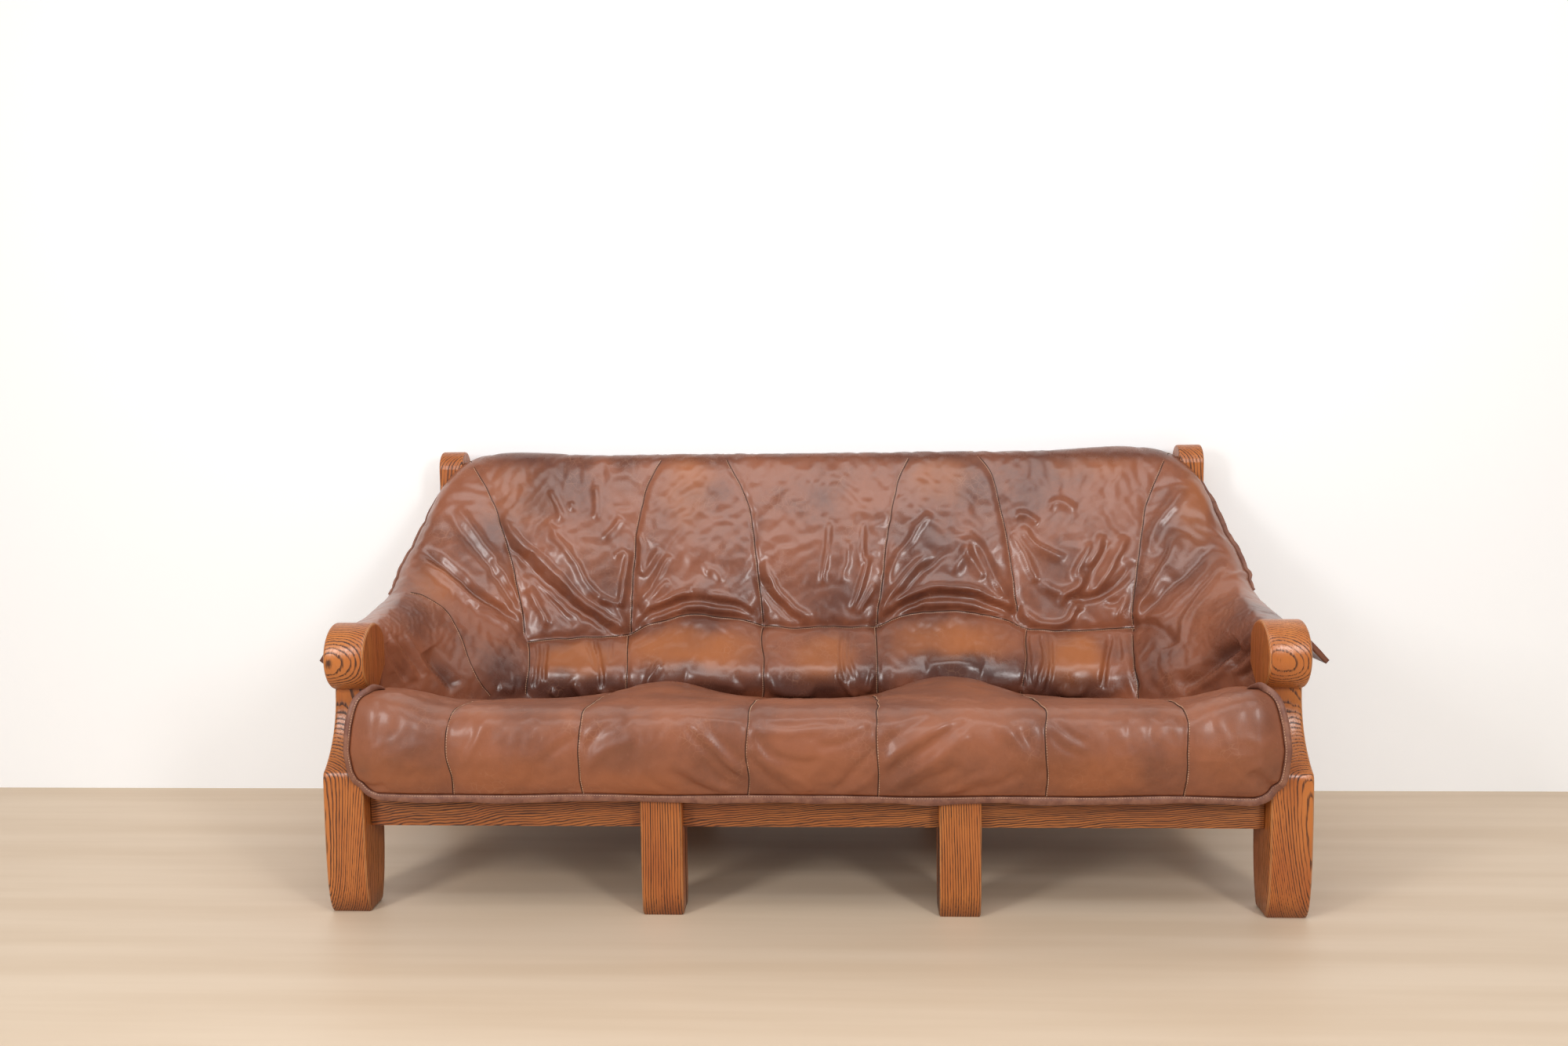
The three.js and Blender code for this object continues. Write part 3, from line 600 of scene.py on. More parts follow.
# folds of the upper panels, from the left wing to the right one
for points, *shape in [
    ([(-905, 668), (-850, 630), (-798, 580), (-735, 530), (-676, 482)], -14, 12),
    ([(-900, 640), (-840, 600), (-780, 548), (-718, 508), (-676, 478)], 10, 11, 0.3),
    ([(-815, 770), (-778, 710), (-736, 645), (-695, 580), (-674, 520)], 6, 11),
    ([(-840, 765), (-798, 695), (-748, 628), (-700, 556), (-676, 500)], -5, 10),
    ([(-780, 533), (-718, 505), (-670, 470)], -5, 6),
    ([(-720, 748), (-664, 676), (-590, 605), (-517, 533), (-456, 491), (-430, 478)], 11, 11, 0.35),
    ([(-712, 694), (-652, 623), (-578, 551), (-505, 497), (-444, 474)], -10, 10),
    ([(-688, 653), (-639, 581), (-590, 521), (-554, 485)], -6, 10),
    ([(-664, 581), (-639, 533), (-615, 487)], 8, 10),
    ([(-615, 737), (-554, 648), (-499, 570), (-444, 503), (-426, 482)], 7, 11, 0.3),
    ([(-426, 665), (-435, 618), (-444, 558), (-452, 530)], 9, 8),
    ([(-493, 555), (-462, 540), (-440, 530)], 7, 9), ([(-606, 803), (-590, 767), (-575, 731)], 5, 7),
    ([(-500, 815), (-493, 779), (-497, 737)], 5, 7), ([(-554, 779), (-550, 755)], 4, 6),
    ([(-481, 689), (-456, 718), (-438, 743)], 5, 8), ([(-462, 653), (-432, 665)], 4, 8),
    ([(-408, 533), (-371, 581), (-340, 629), (-325, 650)], 7, 8),
    ([(-398, 520), (-360, 563), (-332, 593)], 6, 8), ([(-395, 606), (-371, 635), (-350, 665)], 5, 8),
    ([(-404, 707), (-396, 665), (-400, 606)], 7, 8),
    ([(-414, 478), (-390, 509), (-347, 533), (-292, 545), (-231, 545), (-176, 533), (-127, 508)], -11, 9),
    ([(-408, 497), (-371, 533), (-322, 557), (-280, 569)], 10, 9, 0.4),
    ([(-396, 488), (-347, 515), (-280, 527), (-213, 527), (-152, 512)], 8, 8),
    ([(-243, 557), (-188, 545), (-139, 521)], 7, 8), ([(-249, 605), (-228, 617), (-206, 581)], 4, 10),
    ([(-127, 605), (-103, 557), (-66, 521), (-30, 500)], -8, 11),
    ([(-112, 640), (-84, 570), (-47, 533), (-4, 506)], 7, 11, 0.3),
    ([(32, 725), (29, 677), (20, 617), (23, 581)], 5, 7), ([(115, 725), (109, 665), (106, 629)], 5, 7),
    ([(88, 521), (100, 557), (112, 605), (121, 653)], 7, 8),
    ([(104, 515), (124, 557), (140, 581)], 6, 7), ([(60, 581), (69, 629), (75, 689)], 4, 9),
    ([(152, 509), (173, 557), (210, 605), (259, 653)], 8, 10, 0.2),
    ([(161, 503), (204, 563), (259, 617), (308, 665)], -5, 10),
    ([(161, 581), (192, 647), (235, 713), (259, 749)], 6, 11),
    ([(308, 605), (339, 653), (345, 689)], 8, 15),
    ([(345, 701), (382, 647), (406, 593), (431, 545)], 6, 10),
    ([(335, 670), (358, 629), (382, 593)], 6, 10),
    ([(150, 497), (186, 521), (222, 542), (278, 557), (333, 557), (382, 545), (425, 524), (455, 503),
      (486, 485)], -16, 10),
    ([(161, 515), (198, 545), (247, 563), (308, 572), (370, 563), (419, 539), (449, 518)], 12, 11, 0.3),
    ([(180, 509), (235, 530), (308, 536), (370, 530), (431, 512), (468, 497)], 8, 8),
    ([(406, 593), (431, 557), (449, 527)], 6, 8), ([(455, 737), (480, 737), (504, 719)], 7, 9),
    ([(474, 713), (486, 683), (523, 653), (566, 641)], 8, 9, 0.3),
    ([(449, 695), (468, 659), (492, 605), (504, 581)], 7, 9),
    ([(529, 755), (553, 767), (590, 749)], 5, 9),
    ([(621, 677), (602, 635), (590, 605), (609, 581)], 8, 9),
    ([(664, 677), (639, 629), (609, 581)], -6, 9),
    ([(707, 689), (682, 641), (652, 593), (627, 557)], 8, 9, 0.3),
    ([(719, 635), (676, 581), (627, 551), (578, 545)], -10, 10),
    ([(645, 695), (633, 653), (609, 617)], 6, 9), ([(504, 581), (566, 563), (609, 581)], 7, 11),
    ([(462, 533), (486, 503), (517, 488), (566, 494), (584, 524), (602, 536)], 10, 9),
    ([(553, 533), (566, 557), (596, 581), (609, 611)], 7, 9),
    ([(676, 497), (694, 533), (707, 581)], 6, 8), ([(652, 533), (688, 545), (713, 581)], -6, 9),
    ([(719, 503), (750, 557), (793, 629), (823, 701)], 10, 16, 0.2),
    ([(731, 497), (774, 545), (835, 605), (897, 665)], -8, 13),
    ([(725, 497), (786, 509), (835, 557), (921, 647)], 6, 12),
    ([(743, 653), (774, 719), (805, 767), (829, 803)], 8, 14),
    ([(720, 488), (762, 485), (799, 461), (817, 437)], -9, 13),
    ([(829, 443), (835, 497), (872, 557), (921, 617)], 5, 8),
    ([(823, 341), (872, 377), (921, 419), (958, 443)], -16, 17),
    ([(835, 338), (897, 365), (946, 401)], 8, 12), ([(-902, 437), (-862, 377), (-835, 345)], -14, 17),
    ([(921, 593), (958, 605), (983, 593)], 4, 6),
]:
    relief.fold(points, *shape)

# gathers and puckers of the lumbar roll
for points, *shape in [
    ([(-639, 455), (-648, 401), (-658, 341)], -7, 5), ([(-618, 452), (-630, 407), (-633, 359)], -8, 5),
    ([(-511, 461), (-499, 407), (-493, 341)], -9, 5), ([(-530, 455), (-505, 377)], -5, 5),
    ([(-469, 461), (-475, 401)], -4, 5), ([(-615, 341), (-600, 317)], 9, 8),
    ([(-560, 359), (-530, 323)], 9, 10), ([(-505, 350), (-480, 330)], 8, 7),
    ([(-395, 347), (-371, 377), (-353, 395)], 8, 8), ([(63, 479), (60, 407), (69, 347)], -6, 5),
    ([(82, 479), (78, 419), (94, 359)], -5, 5), ([(48, 377), (75, 347), (94, 326)], 9, 7),
    ([(134, 380), (118, 335)], 8, 8), ([(486, 470), (483, 407), (492, 347)], -8, 5),
    ([(514, 467), (520, 407), (504, 341)], -9, 5), ([(532, 467), (535, 401), (526, 332)], -9, 5),
    ([(667, 473), (661, 401), (649, 341)], -11, 6), ([(682, 473), (694, 401)], -5, 6),
    ([(706, 473), (719, 407), (731, 335)], -9, 6), ([(470, 350), (482, 325)], 8, 6),
    ([(553, 352), (575, 335), (620, 330)], 7, 10), ([(-740, 345), (-700, 335)], 6, 10),
    ([(-110, 350), (-60, 335), (0, 335)], 8, 12), ([(-300, 365), (-230, 360), (-160, 340)], 6, 12),
    ([(250, 385), (310, 392), (380, 380)], 6, 12), ([(-1000, 450), (-980, 400), (-950, 362)], -6, 5),
    ([(-990, 462), (-962, 415), (-930, 366)], 5, 6), ([(-975, 468), (-944, 420), (-912, 372)], -6, 5),
    ([(-950, 470), (-925, 425), (-896, 380)], 4, 6), ([(1030, 440), (1000, 400), (962, 364)], -6, 5),
    ([(1024, 455), (990, 415), (945, 370)], 5, 6), ([(1012, 465), (975, 425), (930, 376)], -6, 5),
    ([(985, 470), (955, 430), (915, 385)], 4, 6),
]:
    relief.fold(points, *shape)

ripple = noise_field(7, x, z, 0.045) * 0.6 + noise_field(8, x, z, 0.018) * 0.25
relief.height += 0.0022 * ripple
finished = np.clip(relief.height, -0.024, 0.032)
rail_over = np.clip((z - 0.845) / 0.03, 0, 1)
depth_share = np.linspace(0, 1, rows)
foot_fade = np.clip(depth_share / 0.03, 0, 1)
quilted = base + pad_normals * (finished * (1 - 0.6 * rail_over) * foot_fade)[..., None]


def resample(grid, count, tall):
    """A grid of points or values at another number of stations and rows, evenly spaced in index."""
    for axis, size in ((0, count), (1, tall)):
        place = np.linspace(0, grid.shape[axis] - 1, size)
        low = np.minimum(place.astype(int), grid.shape[axis] - 2)
        shape = [1] * grid.ndim
        shape[axis] = size
        share = (place - low).reshape(shape)
        grid = np.take(grid, low, axis) * (1 - share) + np.take(grid, low + 1, axis) * share
    return grid


def sewn_along(seams, x, z):
    """How fast each point of a cover is held: wholly near its seams, and a quarter elsewhere."""
    held = np.full(x.shape, 0.25)
    near = 0.005
    for seam in seams:
        away, share = along_curve(np.array(seam, float) / 1000, x, z)
        held = np.where(np.abs(away) < near, 1.0, held)
    return held


def settle(cover, held, slack, coarse, frames, cap, pressure):
    """How far a leather cover moves when it buckles as real leather does: as cloth that is too long
    where slack is 1 and sewn fast where held is 1. It is simulated on a coarse grid, and no point
    moves further than cap."""
    grid = resample(cover, *coarse)
    held, slack = (np.round(resample(weights, *coarse) * 4).ravel() / 4 for weights in (held, slack))
    count, tall = coarse
    ids = np.arange(count * tall).reshape(count, tall)
    faces = np.stack([ids[:-1, :-1], ids[1:, :-1], ids[1:, 1:], ids[:-1, 1:]], axis=-1).reshape(-1, 4)
    sheet = add_mesh("cover_in_simulation", grid.reshape(-1, 3), faces.tolist())
    pins = sheet.vertex_groups.new(name="held")
    loose = sheet.vertex_groups.new(name="slack")
    for level in (0.25, 0.5, 0.75, 1.0):
        for group, weights in ((pins, held), (loose, slack)):
            chosen = np.where(np.abs(weights - level) < 0.125)[0]
            group.add([int(i) for i in chosen], level, "REPLACE")
    cloth = sheet.modifiers.new("leather", "CLOTH")
    settings = cloth.settings
    settings.quality = 4
    settings.mass = 0.35
    settings.tension_stiffness = 30
    settings.compression_stiffness = 30
    settings.shear_stiffness = 8
    settings.bending_stiffness = 0.6
    settings.tension_damping = 8
    settings.compression_damping = 8
    settings.shear_damping = 8
    settings.air_damping = 4
    settings.vertex_group_mass = "held"
    settings.pin_stiffness = 0.7
    settings.vertex_group_shrink = "slack"
    settings.shrink_min = -0.006
    settings.shrink_max = -0.075
    settings.effector_weights.gravity = 0.0
    settings.use_pressure = True
    settings.uniform_pressure_force = pressure
    cloth.point_cache.frame_end = frames
    scene = bpy.context.scene
    for frame_number in range(1, frames + 1):
        scene.frame_set(frame_number)
    evaluated = sheet.evaluated_get(bpy.context.evaluated_depsgraph_get())
    moved = np.zeros(count * tall * 3, np.float32)
    evaluated.data.vertices.foreach_get("co", moved)
    scene.frame_set(1)
    bpy.data.objects.remove(sheet)
    offset = moved.reshape(count, tall, 3) - grid
    size = np.linalg.norm(offset, axis=-1)[..., None]
    thrown_off = 0.2
    offset = offset * np.minimum(1, cap / np.maximum(size, 1e-6)) * (size < thrown_off)
    return resample(offset, *cover.shape[:2])


# the cover settles into its own wrinkles, most of all just above the lumbar seam
sewn = sewn_along(back_seams + [lumbar_seam] + lower_seams, warp_x, warp_z)
sewn[:, :2] = sewn[:, -10:] = 1
sewn[:4] = sewn[-4:] = 1
lumbar_run = through(np.array(lumbar_seam, float) / 1000, np.linspace(0, 1, 80))
above = z - np.interp(x, lumbar_run[:, 0], lumbar_run[:, 1])
full = (0.10 + 0.90 * np.exp(-(above / 0.12) ** 2)) * np.clip((0.84 - z) / 0.1, 0, 1)
full *= np.clip((0.93 - np.abs(x)) / 0.1, 0, 1)
full *= 1 - 0.6 * np.exp(-((x - 0.02) / 0.10) ** 2) * np.clip((z - 0.50) / 0.05, 0, 1)
quilted = quilted + settle(quilted, sewn, full, (340, 100), frames=20, cap=0.012, pressure=1.5)

thickness = through(np.array([line[0] for line in pad_lines])[:, None], up)[:, 0]
ends = np.minimum(along, 1 - along)
ends = np.clip(ends / 0.16, 0, 1)
ends = ends * ends * (3 - 2 * ends)
padding = np.minimum(thickness[None, :], 0.024 + (thickness[None, :] - 0.024) * ends[:, None])
coarse = np.unique(np.concatenate([np.arange(0, rows, 4), [rows - 1]]))
lining = (base - pad_normals * padding[..., None])[:, coarse]


def close_pad(name, front, back):
    """A closed pad from its front grid and a coarser grid of its lining, end to end."""
    count, tall = front.shape[:2]
    low = back.shape[1]
    loop = np.concatenate([front, back[:, ::-1]], axis=1)
    around = tall + low
    ids = np.arange(count * around).reshape(count, around)
    a, b = ids[:-1], ids[1:]
    faces = np.stack([a, b, np.roll(b, -1, axis=1), np.roll(a, -1, axis=1)], axis=-1).reshape(-1, 4).tolist()
    partner = tall + low - 1 - np.round(np.linspace(0, low - 1, tall)).astype(int)
    for station, flip in ((0, False), (count - 1, True)):
        for j in range(tall - 1):
            p, q = int(partner[j]), int(partner[j + 1])
            face = [ids[station, j], ids[station, j + 1], ids[station, q]]
            if p != q:
                face.append(ids[station, p])
            faces.append([int(v) for v in (face[::-1] if flip else face)])
    return add_mesh(name, loop.reshape(-1, 3), faces)


back_pad = close_pad("quilted_back_pad", quilted, lining)


def paint(piece, name, values, behind):
    """A value for each vertex of a pad, and one value for its lining."""
    count, tall = values.shape
    total = len(piece.data.vertices) // count
    every = np.full((count, total), float(behind))
    every[:, :tall] = values
    attribute = piece.data.attributes.new(name, "FLOAT", "POINT")
    attribute.data.foreach_set("value", every.ravel().astype(np.float32))


burnished = stains(x, z, [
    ((-560, 405), (85, 48), 1.0), ((-285, 430), (150, 52), 1.0), ((20, 410), (75, 60), 0.9),
    ((300, 440), (135, 55), 0.85), ((590, 405), (65, 65), 1.0), ((-660, 790), (110, 70), 0.45),
    ((-285, 800), (60, 100), 0.6), ((290, 820), (70, 60), 0.6), ((-40, 850), (900, 26), 0.12),
    ((850, 760), (40, 110), 0.6), ((-870, 590), (60, 60), 0.5), ((620, 850), (120, 40), 0.35),
    ((-700, 600), (70, 110), 0.25), ((900, 520), (60, 90), 0.25), ((-500, 640), (90, 90), 0.25),
    ((60, 760), (90, 80), 0.2), ((480, 660), (60, 60), 0.2),
])
# dark spots: some are grease stains, and some are painted shade along the lumbar roll's lower side and in the
# corners by the arms and wings
grease_and_shade_spots = stains(x, z, [
    ((-720, 380), (60, 60), 0.7), ((-560, 345), (140, 34), 1.0), ((-280, 362), (180, 30), 1.0),
    ((0, 350), (150, 32), 1.0), ((300, 380), (180, 36), 1.0), ((600, 345), (150, 34), 1.1),
    ((-900, 680), (45, 90), 0.6), ((-420, 830), (40, 50), 0.6), ((-350, 700), (40, 120), 0.35),
    ((220, 700), (50, 140), 0.6), ((400, 700), (50, 120), 0.4), ((760, 640), (50, 150), 0.45),
    ((790, 440), (60, 70), 0.5), ((940, 430), (60, 60), 0.7), ((-840, 380), (60, 60), 0.6),
    ((400, 400), (90, 50), 0.4), ((140, 420), (40, 70), 0.5), ((-110, 420), (30, 50), 0.3),
    ((700, 870), (100, 30), 0.4), ((-130, 560), (60, 80), 0.4),
    ((0, 885), (950, 24), 0.85), ((850, 640), (70, 120), 0.5), ((30, 800), (60, 60), 0.3),
])
# painted shade in the creases and seams, darker where the relief is deeper; the lining is darkened evenly
crease_shade = np.clip(-relief.height / 0.014, 0, 1)
paint(back_pad, "burnish", np.clip(burnished, 0, 1), 0)
paint(back_pad, "grease_and_shade", np.clip(grease_and_shade_spots + 0.5 * crease_shade, 0, 1.3), 0.6)


def leather(name, light="93563a", dark="65392a", orange="a9612f", gloss=0.25, coat=0.4):
    """Aniline leather: a brown ground, rubbed orange where it is 'burnish', darkened by a mask that holds
    grease stains and painted shade, with fine pores, scuffs and hairline cracks."""
    material, shader, where = new_material(name)
    burnish = where.node("ShaderNodeAttribute", attribute_name="burnish", output=2)
    grease_and_shade = where.node("ShaderNodeAttribute", attribute_name="grease_and_shade", output=2)
    cloud = where.noise(5.0, 3.0, 0.5)
    mottle = where.noise(48.0, 4.0, 0.7)
    ground = (cloud * 0.80 + mottle * 0.20).between(0.32, 0.64).blend(linear(dark), linear(light))
    rubbed = (burnish * (0.35 + cloud * 0.75)).between(0.02, 0.85).blend(ground, linear(orange))
    # dark purple-brown where the mask says: grease stains, and painted shade in creases and hollows
    grease_and_shade_tinted = (grease_and_shade * (0.40 + mottle * 0.24)).between(0.0, 1.0).blend(rubbed, linear("3b2727"))
    scuff = where.stretched(1, 1, 0.4).noise(120.0, 5.0, 0.75).between(0.60, 0.76)
    colour = (scuff * 0.16).blend(grease_and_shade_tinted, linear("c99b80"))
    values = {"Vector": where, "Scale": 70.0}
    hairline = where.node("ShaderNodeTexVoronoi", values, feature="DISTANCE_TO_EDGE")
    cracked = (1.0 - hairline.between(0.0, 0.06)) * where.noise(11.0, 2.0).between(0.52, 0.72)
    colour = (cracked * 0.22).blend(colour, linear("c08c6c"))
    pores = where.node("ShaderNodeTexVoronoi", {"Vector": where, "Scale": 850.0})
    soft = where.noise(26.0, 5.0, 0.65)
    surface = (soft - cracked * 0.15).bump(0.22, 0.003)
    surface = pores.bump(0.22, 0.0006, under=surface)
    shine = gloss + mottle * 0.18 + scuff * 0.10 - grease_and_shade * 0.08
    finish_with(shader, Base_Color=colour, Roughness=shine, Normal=surface, Coat_Weight=coat,
                Coat_Roughness=0.2)
    return material


back_pad.data.materials.append(leather("back_cover_leather"))
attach(back_pad, "root")
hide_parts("back_pad")


# Seat pad: one quilted leather pad that lies on the webbing and rolls over the front rail. Its
# ends lap over the necks of the front posts, and its edge is bound with a flat hem.

# the profiles are (depth, height), and half_widths is (girth up from the hem, half the width)
seat_profile = [(-0.004, 0.249), (-0.011, 0.266), (-0.020, 0.292), (-0.028, 0.335), (-0.021, 0.383),
                (0.000, 0.406), (0.032, 0.414), (0.075, 0.410), (0.150, 0.400), (0.300, 0.366),
                (0.450, 0.330), (0.530, 0.310), (0.590, 0.292)]
seat_underside = [(0.001, 0.249), (0.0025, 0.266), (0.003, 0.284), (0.020, 0.291), (0.062, 0.295),
                  (0.120, 0.291), (0.300, 0.276), (0.450, 0.263), (0.590, 0.252)]
half_widths = [(0.0, 0.846), (0.006, 0.862), (0.014, 0.873), (0.028, 0.885), (0.050, 0.893), (0.095, 0.896),
               (0.135, 0.891), (0.165, 0.880), (0.190, 0.866), (0.230, 0.860), (0.800, 0.860)]
seat_stations, seat_rows = 330, 150
seat_share = evenly(seat_profile, seat_rows)
section = through(seat_profile, seat_share)
girth = np.concatenate([[0], np.cumsum(np.linalg.norm(np.diff(section, axis=0), axis=1))])
half_width = np.interp(girth, *np.array(half_widths).T)
sideways = np.linspace(-1, 1, seat_stations)
seat_x = sideways[:, None] * half_width[None, :]
seat_y = np.repeat(section[None, :, 0], seat_stations, axis=0)
seat_z = np.repeat(section[None, :, 1], seat_stations, axis=0)


def ease(value, low, high):
    """0 below low, 1 above high, smooth between them."""
    share = np.clip((value - low) / (high - low), 0, 1)
    return share * share * (3 - 2 * share)


hump = 0.040 * np.exp(-((seat_x + 0.335) / 0.13) ** 2) + 0.052 * np.exp(-((seat_x - 0.30) / 0.135) ** 2)
seat_z += hump * ease(seat_y, 0.03, 0.46)
seat_z += 0.030 * ease(np.abs(seat_x), 0.70, 0.86) * ease(seat_z, 0.37, 0.41) * (1 - ease(seat_y, 0.14, 0.30))
seat_z += 0.004 * noise_field(21, seat_x, seat_x * 0, 0.16) * (1 - ease(seat_z, 0.25, 0.30))
seat_y += 0.016 * ease(np.abs(seat_x), 0.84, 0.905) * (1 - ease(seat_y, 0.02, 0.06))
seat_base = np.stack([seat_x, seat_y + y_front, seat_z], axis=-1)
seat_normals = normals_of(seat_base)

# the seat's relief is drawn on the cover laid flat: sideways, and up from the hem
hem_height = 0.249
laid_x, laid_z = seat_x, np.repeat((girth + hem_height)[None, :], seat_stations, axis=0)
seat = Relief(laid_x + 0.004 * noise_field(11, laid_x, laid_z, 0.05),
              laid_z + 0.004 * noise_field(12, laid_x, laid_z, 0.05))
seat_seams = [[(place, 250), (place + 2, 300), (place - 2, 380), (place + 3, 460), (place, 860)]
              for place in (-700, -443, -118, 130, 451, 713)]
for seam in seat_seams:
    seat.groove(seam, (0.0050, 0.007), (0.007, 0.010))
for centre, size, height in [((-800, 330), (90, 90), 6), ((-570, 330), (110, 90), 7),
                             ((-280, 330), (140, 90), 8), ((5, 330), (100, 90), 6),
                             ((290, 330), (140, 90), 8), ((580, 330), (110, 90), 7),
                             ((810, 330), (90, 90), 7)]:
    seat.mound(centre, size, height)
for points, *shape in [
    ([(-232, 393), (-186, 337), (-115, 265)], -5, 10),
    ([(-222, 400), (-170, 340), (-118, 290)], 4.5, 9, 0.2),
    ([(-211, 337), (-166, 286), (-118, 255)], -4.5, 9), ([(-273, 311), (-222, 275), (-176, 252)], -4, 9),
    ([(-262, 330), (-205, 290), (-150, 258)], 4, 10, 0.2),
    ([(-196, 400), (-145, 345), (-118, 318)], -3.5, 8),
    ([(-320, 300), (-280, 270), (-250, 252)], -3, 10),
    ([(-108, 380), (-64, 342), (-13, 326), (30, 330)], -4, 9),
    ([(-113, 340), (-74, 291), (-33, 255)], -5, 9),
    ([(-108, 360), (-60, 315), (-10, 280), (10, 262)], 3.5, 10, 0.2),
    ([(44, 256), (79, 301), (128, 356)], -4.5, 9), ([(69, 255), (104, 286), (128, 311)], 3.5, 9, 0.2),
    ([(14, 352), (64, 362), (129, 392)], -3, 8), ([(136, 352), (179, 388), (240, 415)], -4.5, 9),
    ([(139, 316), (189, 362), (270, 400)], 5, 11, 0.2),
    ([(139, 285), (189, 335), (264, 380), (310, 400)], -5, 10),
    ([(142, 256), (199, 305), (264, 350), (300, 380)], 4.5, 11, 0.2),
    ([(179, 252), (234, 291), (294, 322)], -4.5, 10), ([(245, 252), (300, 285), (360, 310)], 4, 11, 0.2),
    ([(294, 252), (354, 281), (410, 310)], -3.5, 10),
    ([(360, 400), (409, 352), (449, 318)], 4.5, 12, 0.2), ([(394, 385), (424, 340), (449, 296)], -4, 10),
    ([(456, 410), (494, 383), (530, 362)], -3.5, 8), ([(456, 380), (485, 352), (520, 332)], -3, 8),
    ([(829, 311), (854, 286), (886, 265)], -6, 10), ([(835, 330), (865, 300), (892, 285)], 4, 10),
    ([(-890, 275), (-860, 262), (-820, 268)], -5, 10), ([(-614, 430), (-635, 372), (-660, 320)], 3, 10),
    ([(-441, 380), (-477, 352), (-523, 316)], -3, 10), ([(-436, 350), (-395, 385), (-350, 410)], -3, 12),
    ([(-436, 310), (-390, 345), (-330, 370)], 3, 12),
    ([(-105, 400), (-50, 396), (30, 398), (100, 402)], -3, 6),
    ([(-112, 385), (-60, 380), (35, 384)], 2.2, 6), ([(-250, 415), (-190, 408), (-125, 402)], 2.5, 6),
]:
    seat.fold(points, *shape)
seat.height += 0.0016 * noise_field(13, laid_x, laid_z, 0.05) + 0.0007 * noise_field(14, laid_x, laid_z, 0.02)
seat_quilted = seat_base + seat_normals * (seat.height * ease(girth, 0.0, 0.02)[None, :])[..., None]

# the front roll settles into fine wrinkles between its seams
front_rows = int(np.searchsorted(girth, 0.34))
sewn = sewn_along(seat_seams, seat.x, seat.z)
sewn[:, :4] = sewn[:, front_rows - 6:] = 1
sewn[:5] = sewn[-5:] = 1
full = 0.75 * np.exp(-((laid_z - 0.33) / 0.09) ** 2)
cover, sewn, full = (values[:, :front_rows] for values in (seat_quilted, sewn, full))
cover += settle(cover, sewn, full, (300, 62), frames=14, cap=0.006, pressure=1.0)

seat_coarse = np.unique(np.concatenate([np.arange(0, seat_rows, 4), [seat_rows - 1]]))
under_share = evenly(seat_underside, len(seat_coarse))
under = through(seat_underside, under_share)
lining_x = seat_x[:, seat_coarse]
flat = np.stack([lining_x, np.broadcast_to(under[:, 0] + y_front, lining_x.shape),
                 np.broadcast_to(under[:, 1], lining_x.shape)], axis=-1)
thin = (seat_base - seat_normals * 0.012)[:, seat_coarse]
lapping = ease(np.abs(lining_x), 0.845, 0.872)[..., None]
seat_lining = flat * (1 - lapping) + thin * lapping
seat_pad = close_pad("quilted_seat_pad", seat_quilted, seat_lining)

burnished = stains(laid_x, laid_z, [
    ((-800, 300), (90, 60), 0.45), ((-590, 290), (120, 40), 0.4), ((-330, 270), (120, 40), 0.35),
    ((-20, 300), (80, 60), 0.25), ((250, 280), (100, 40), 0.25), ((520, 300), (130, 60), 0.45),
    ((800, 330), (70, 60), 0.35), ((-500, 420), (60, 40), 0.2),
])
# dark spots: some are grease stains, and some are painted shade at the seat's ends by the arms and towards
# its back under the back pad
grease_and_shade_spots = stains(laid_x, laid_z, [
    ((-370, 350), (90, 45), 0.55), ((-860, 420), (60, 50), 0.45), ((-400, 430), (60, 40), 0.4),
    ((160, 380), (60, 60), 0.3), ((400, 420), (80, 50), 0.3), ((0, 700), (900, 200), 0.3),
    ((860, 420), (60, 60), 0.4), ((-120, 300), (40, 60), 0.2),
])
# painted shade in the seat's creases and seams, darker where the relief is deeper; the lining is darkened
# evenly
crease_shade = np.clip(-seat.height / 0.008, 0, 1)
paint(seat_pad, "burnish", np.clip(burnished, 0, 1), 0)
paint(seat_pad, "grease_and_shade", np.clip(grease_and_shade_spots + 0.4 * crease_shade, 0, 1.3), 0.5)
seat_leather = leather("seat_cover_leather", light="985a3c", dark="774530", orange="a8602f", gloss=0.38,
                       coat=0.2)
seat_pad.data.materials.append(seat_leather)
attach(seat_pad, "root")
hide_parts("seat_pad")


# Seat hem: a flat double strip of darker leather sewn round the roll's ends and lower edge, of
# uneven width where it has crept.
def band(name, path, outward, width, thickness, material):
    """A flat strip beside a path of points, as wide as width in the outward directions."""
    path, outward = np.asarray(path), np.asarray(outward)
    run = np.gradient(path, axis=0)
    face = np.cross(run, outward)
    face /= np.linalg.norm(face, axis=1)[:, None]
    corners = [(0, 0.5), (0.5, 0.62), (0.94, 0.5), (1.0, 0.0), (0.94, -0.5), (0.5, -0.4), (0, -0.5)]
    rings = [path + outward * (width * a)[:, None] + face * (thickness * b) for a, b in corners]
    rings = np.stack(rings, axis=1)
    count, around = rings.shape[:2]
    ids = np.arange(count * around).reshape(count, around)
    faces = []
    for k in range(count - 1):
        for i in range(around):
            j = (i + 1) % around
            faces.append((int(ids[k, i]), int(ids[k + 1, i]), int(ids[k + 1, j]), int(ids[k, j])))
    faces.append([int(v) for v in ids[0]])
    faces.append([int(v) for v in ids[-1][::-1]])
    strip = add_mesh(name, rings.reshape(-1, 3), faces)
    strip.data.materials.append(material)
    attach(strip, "root")


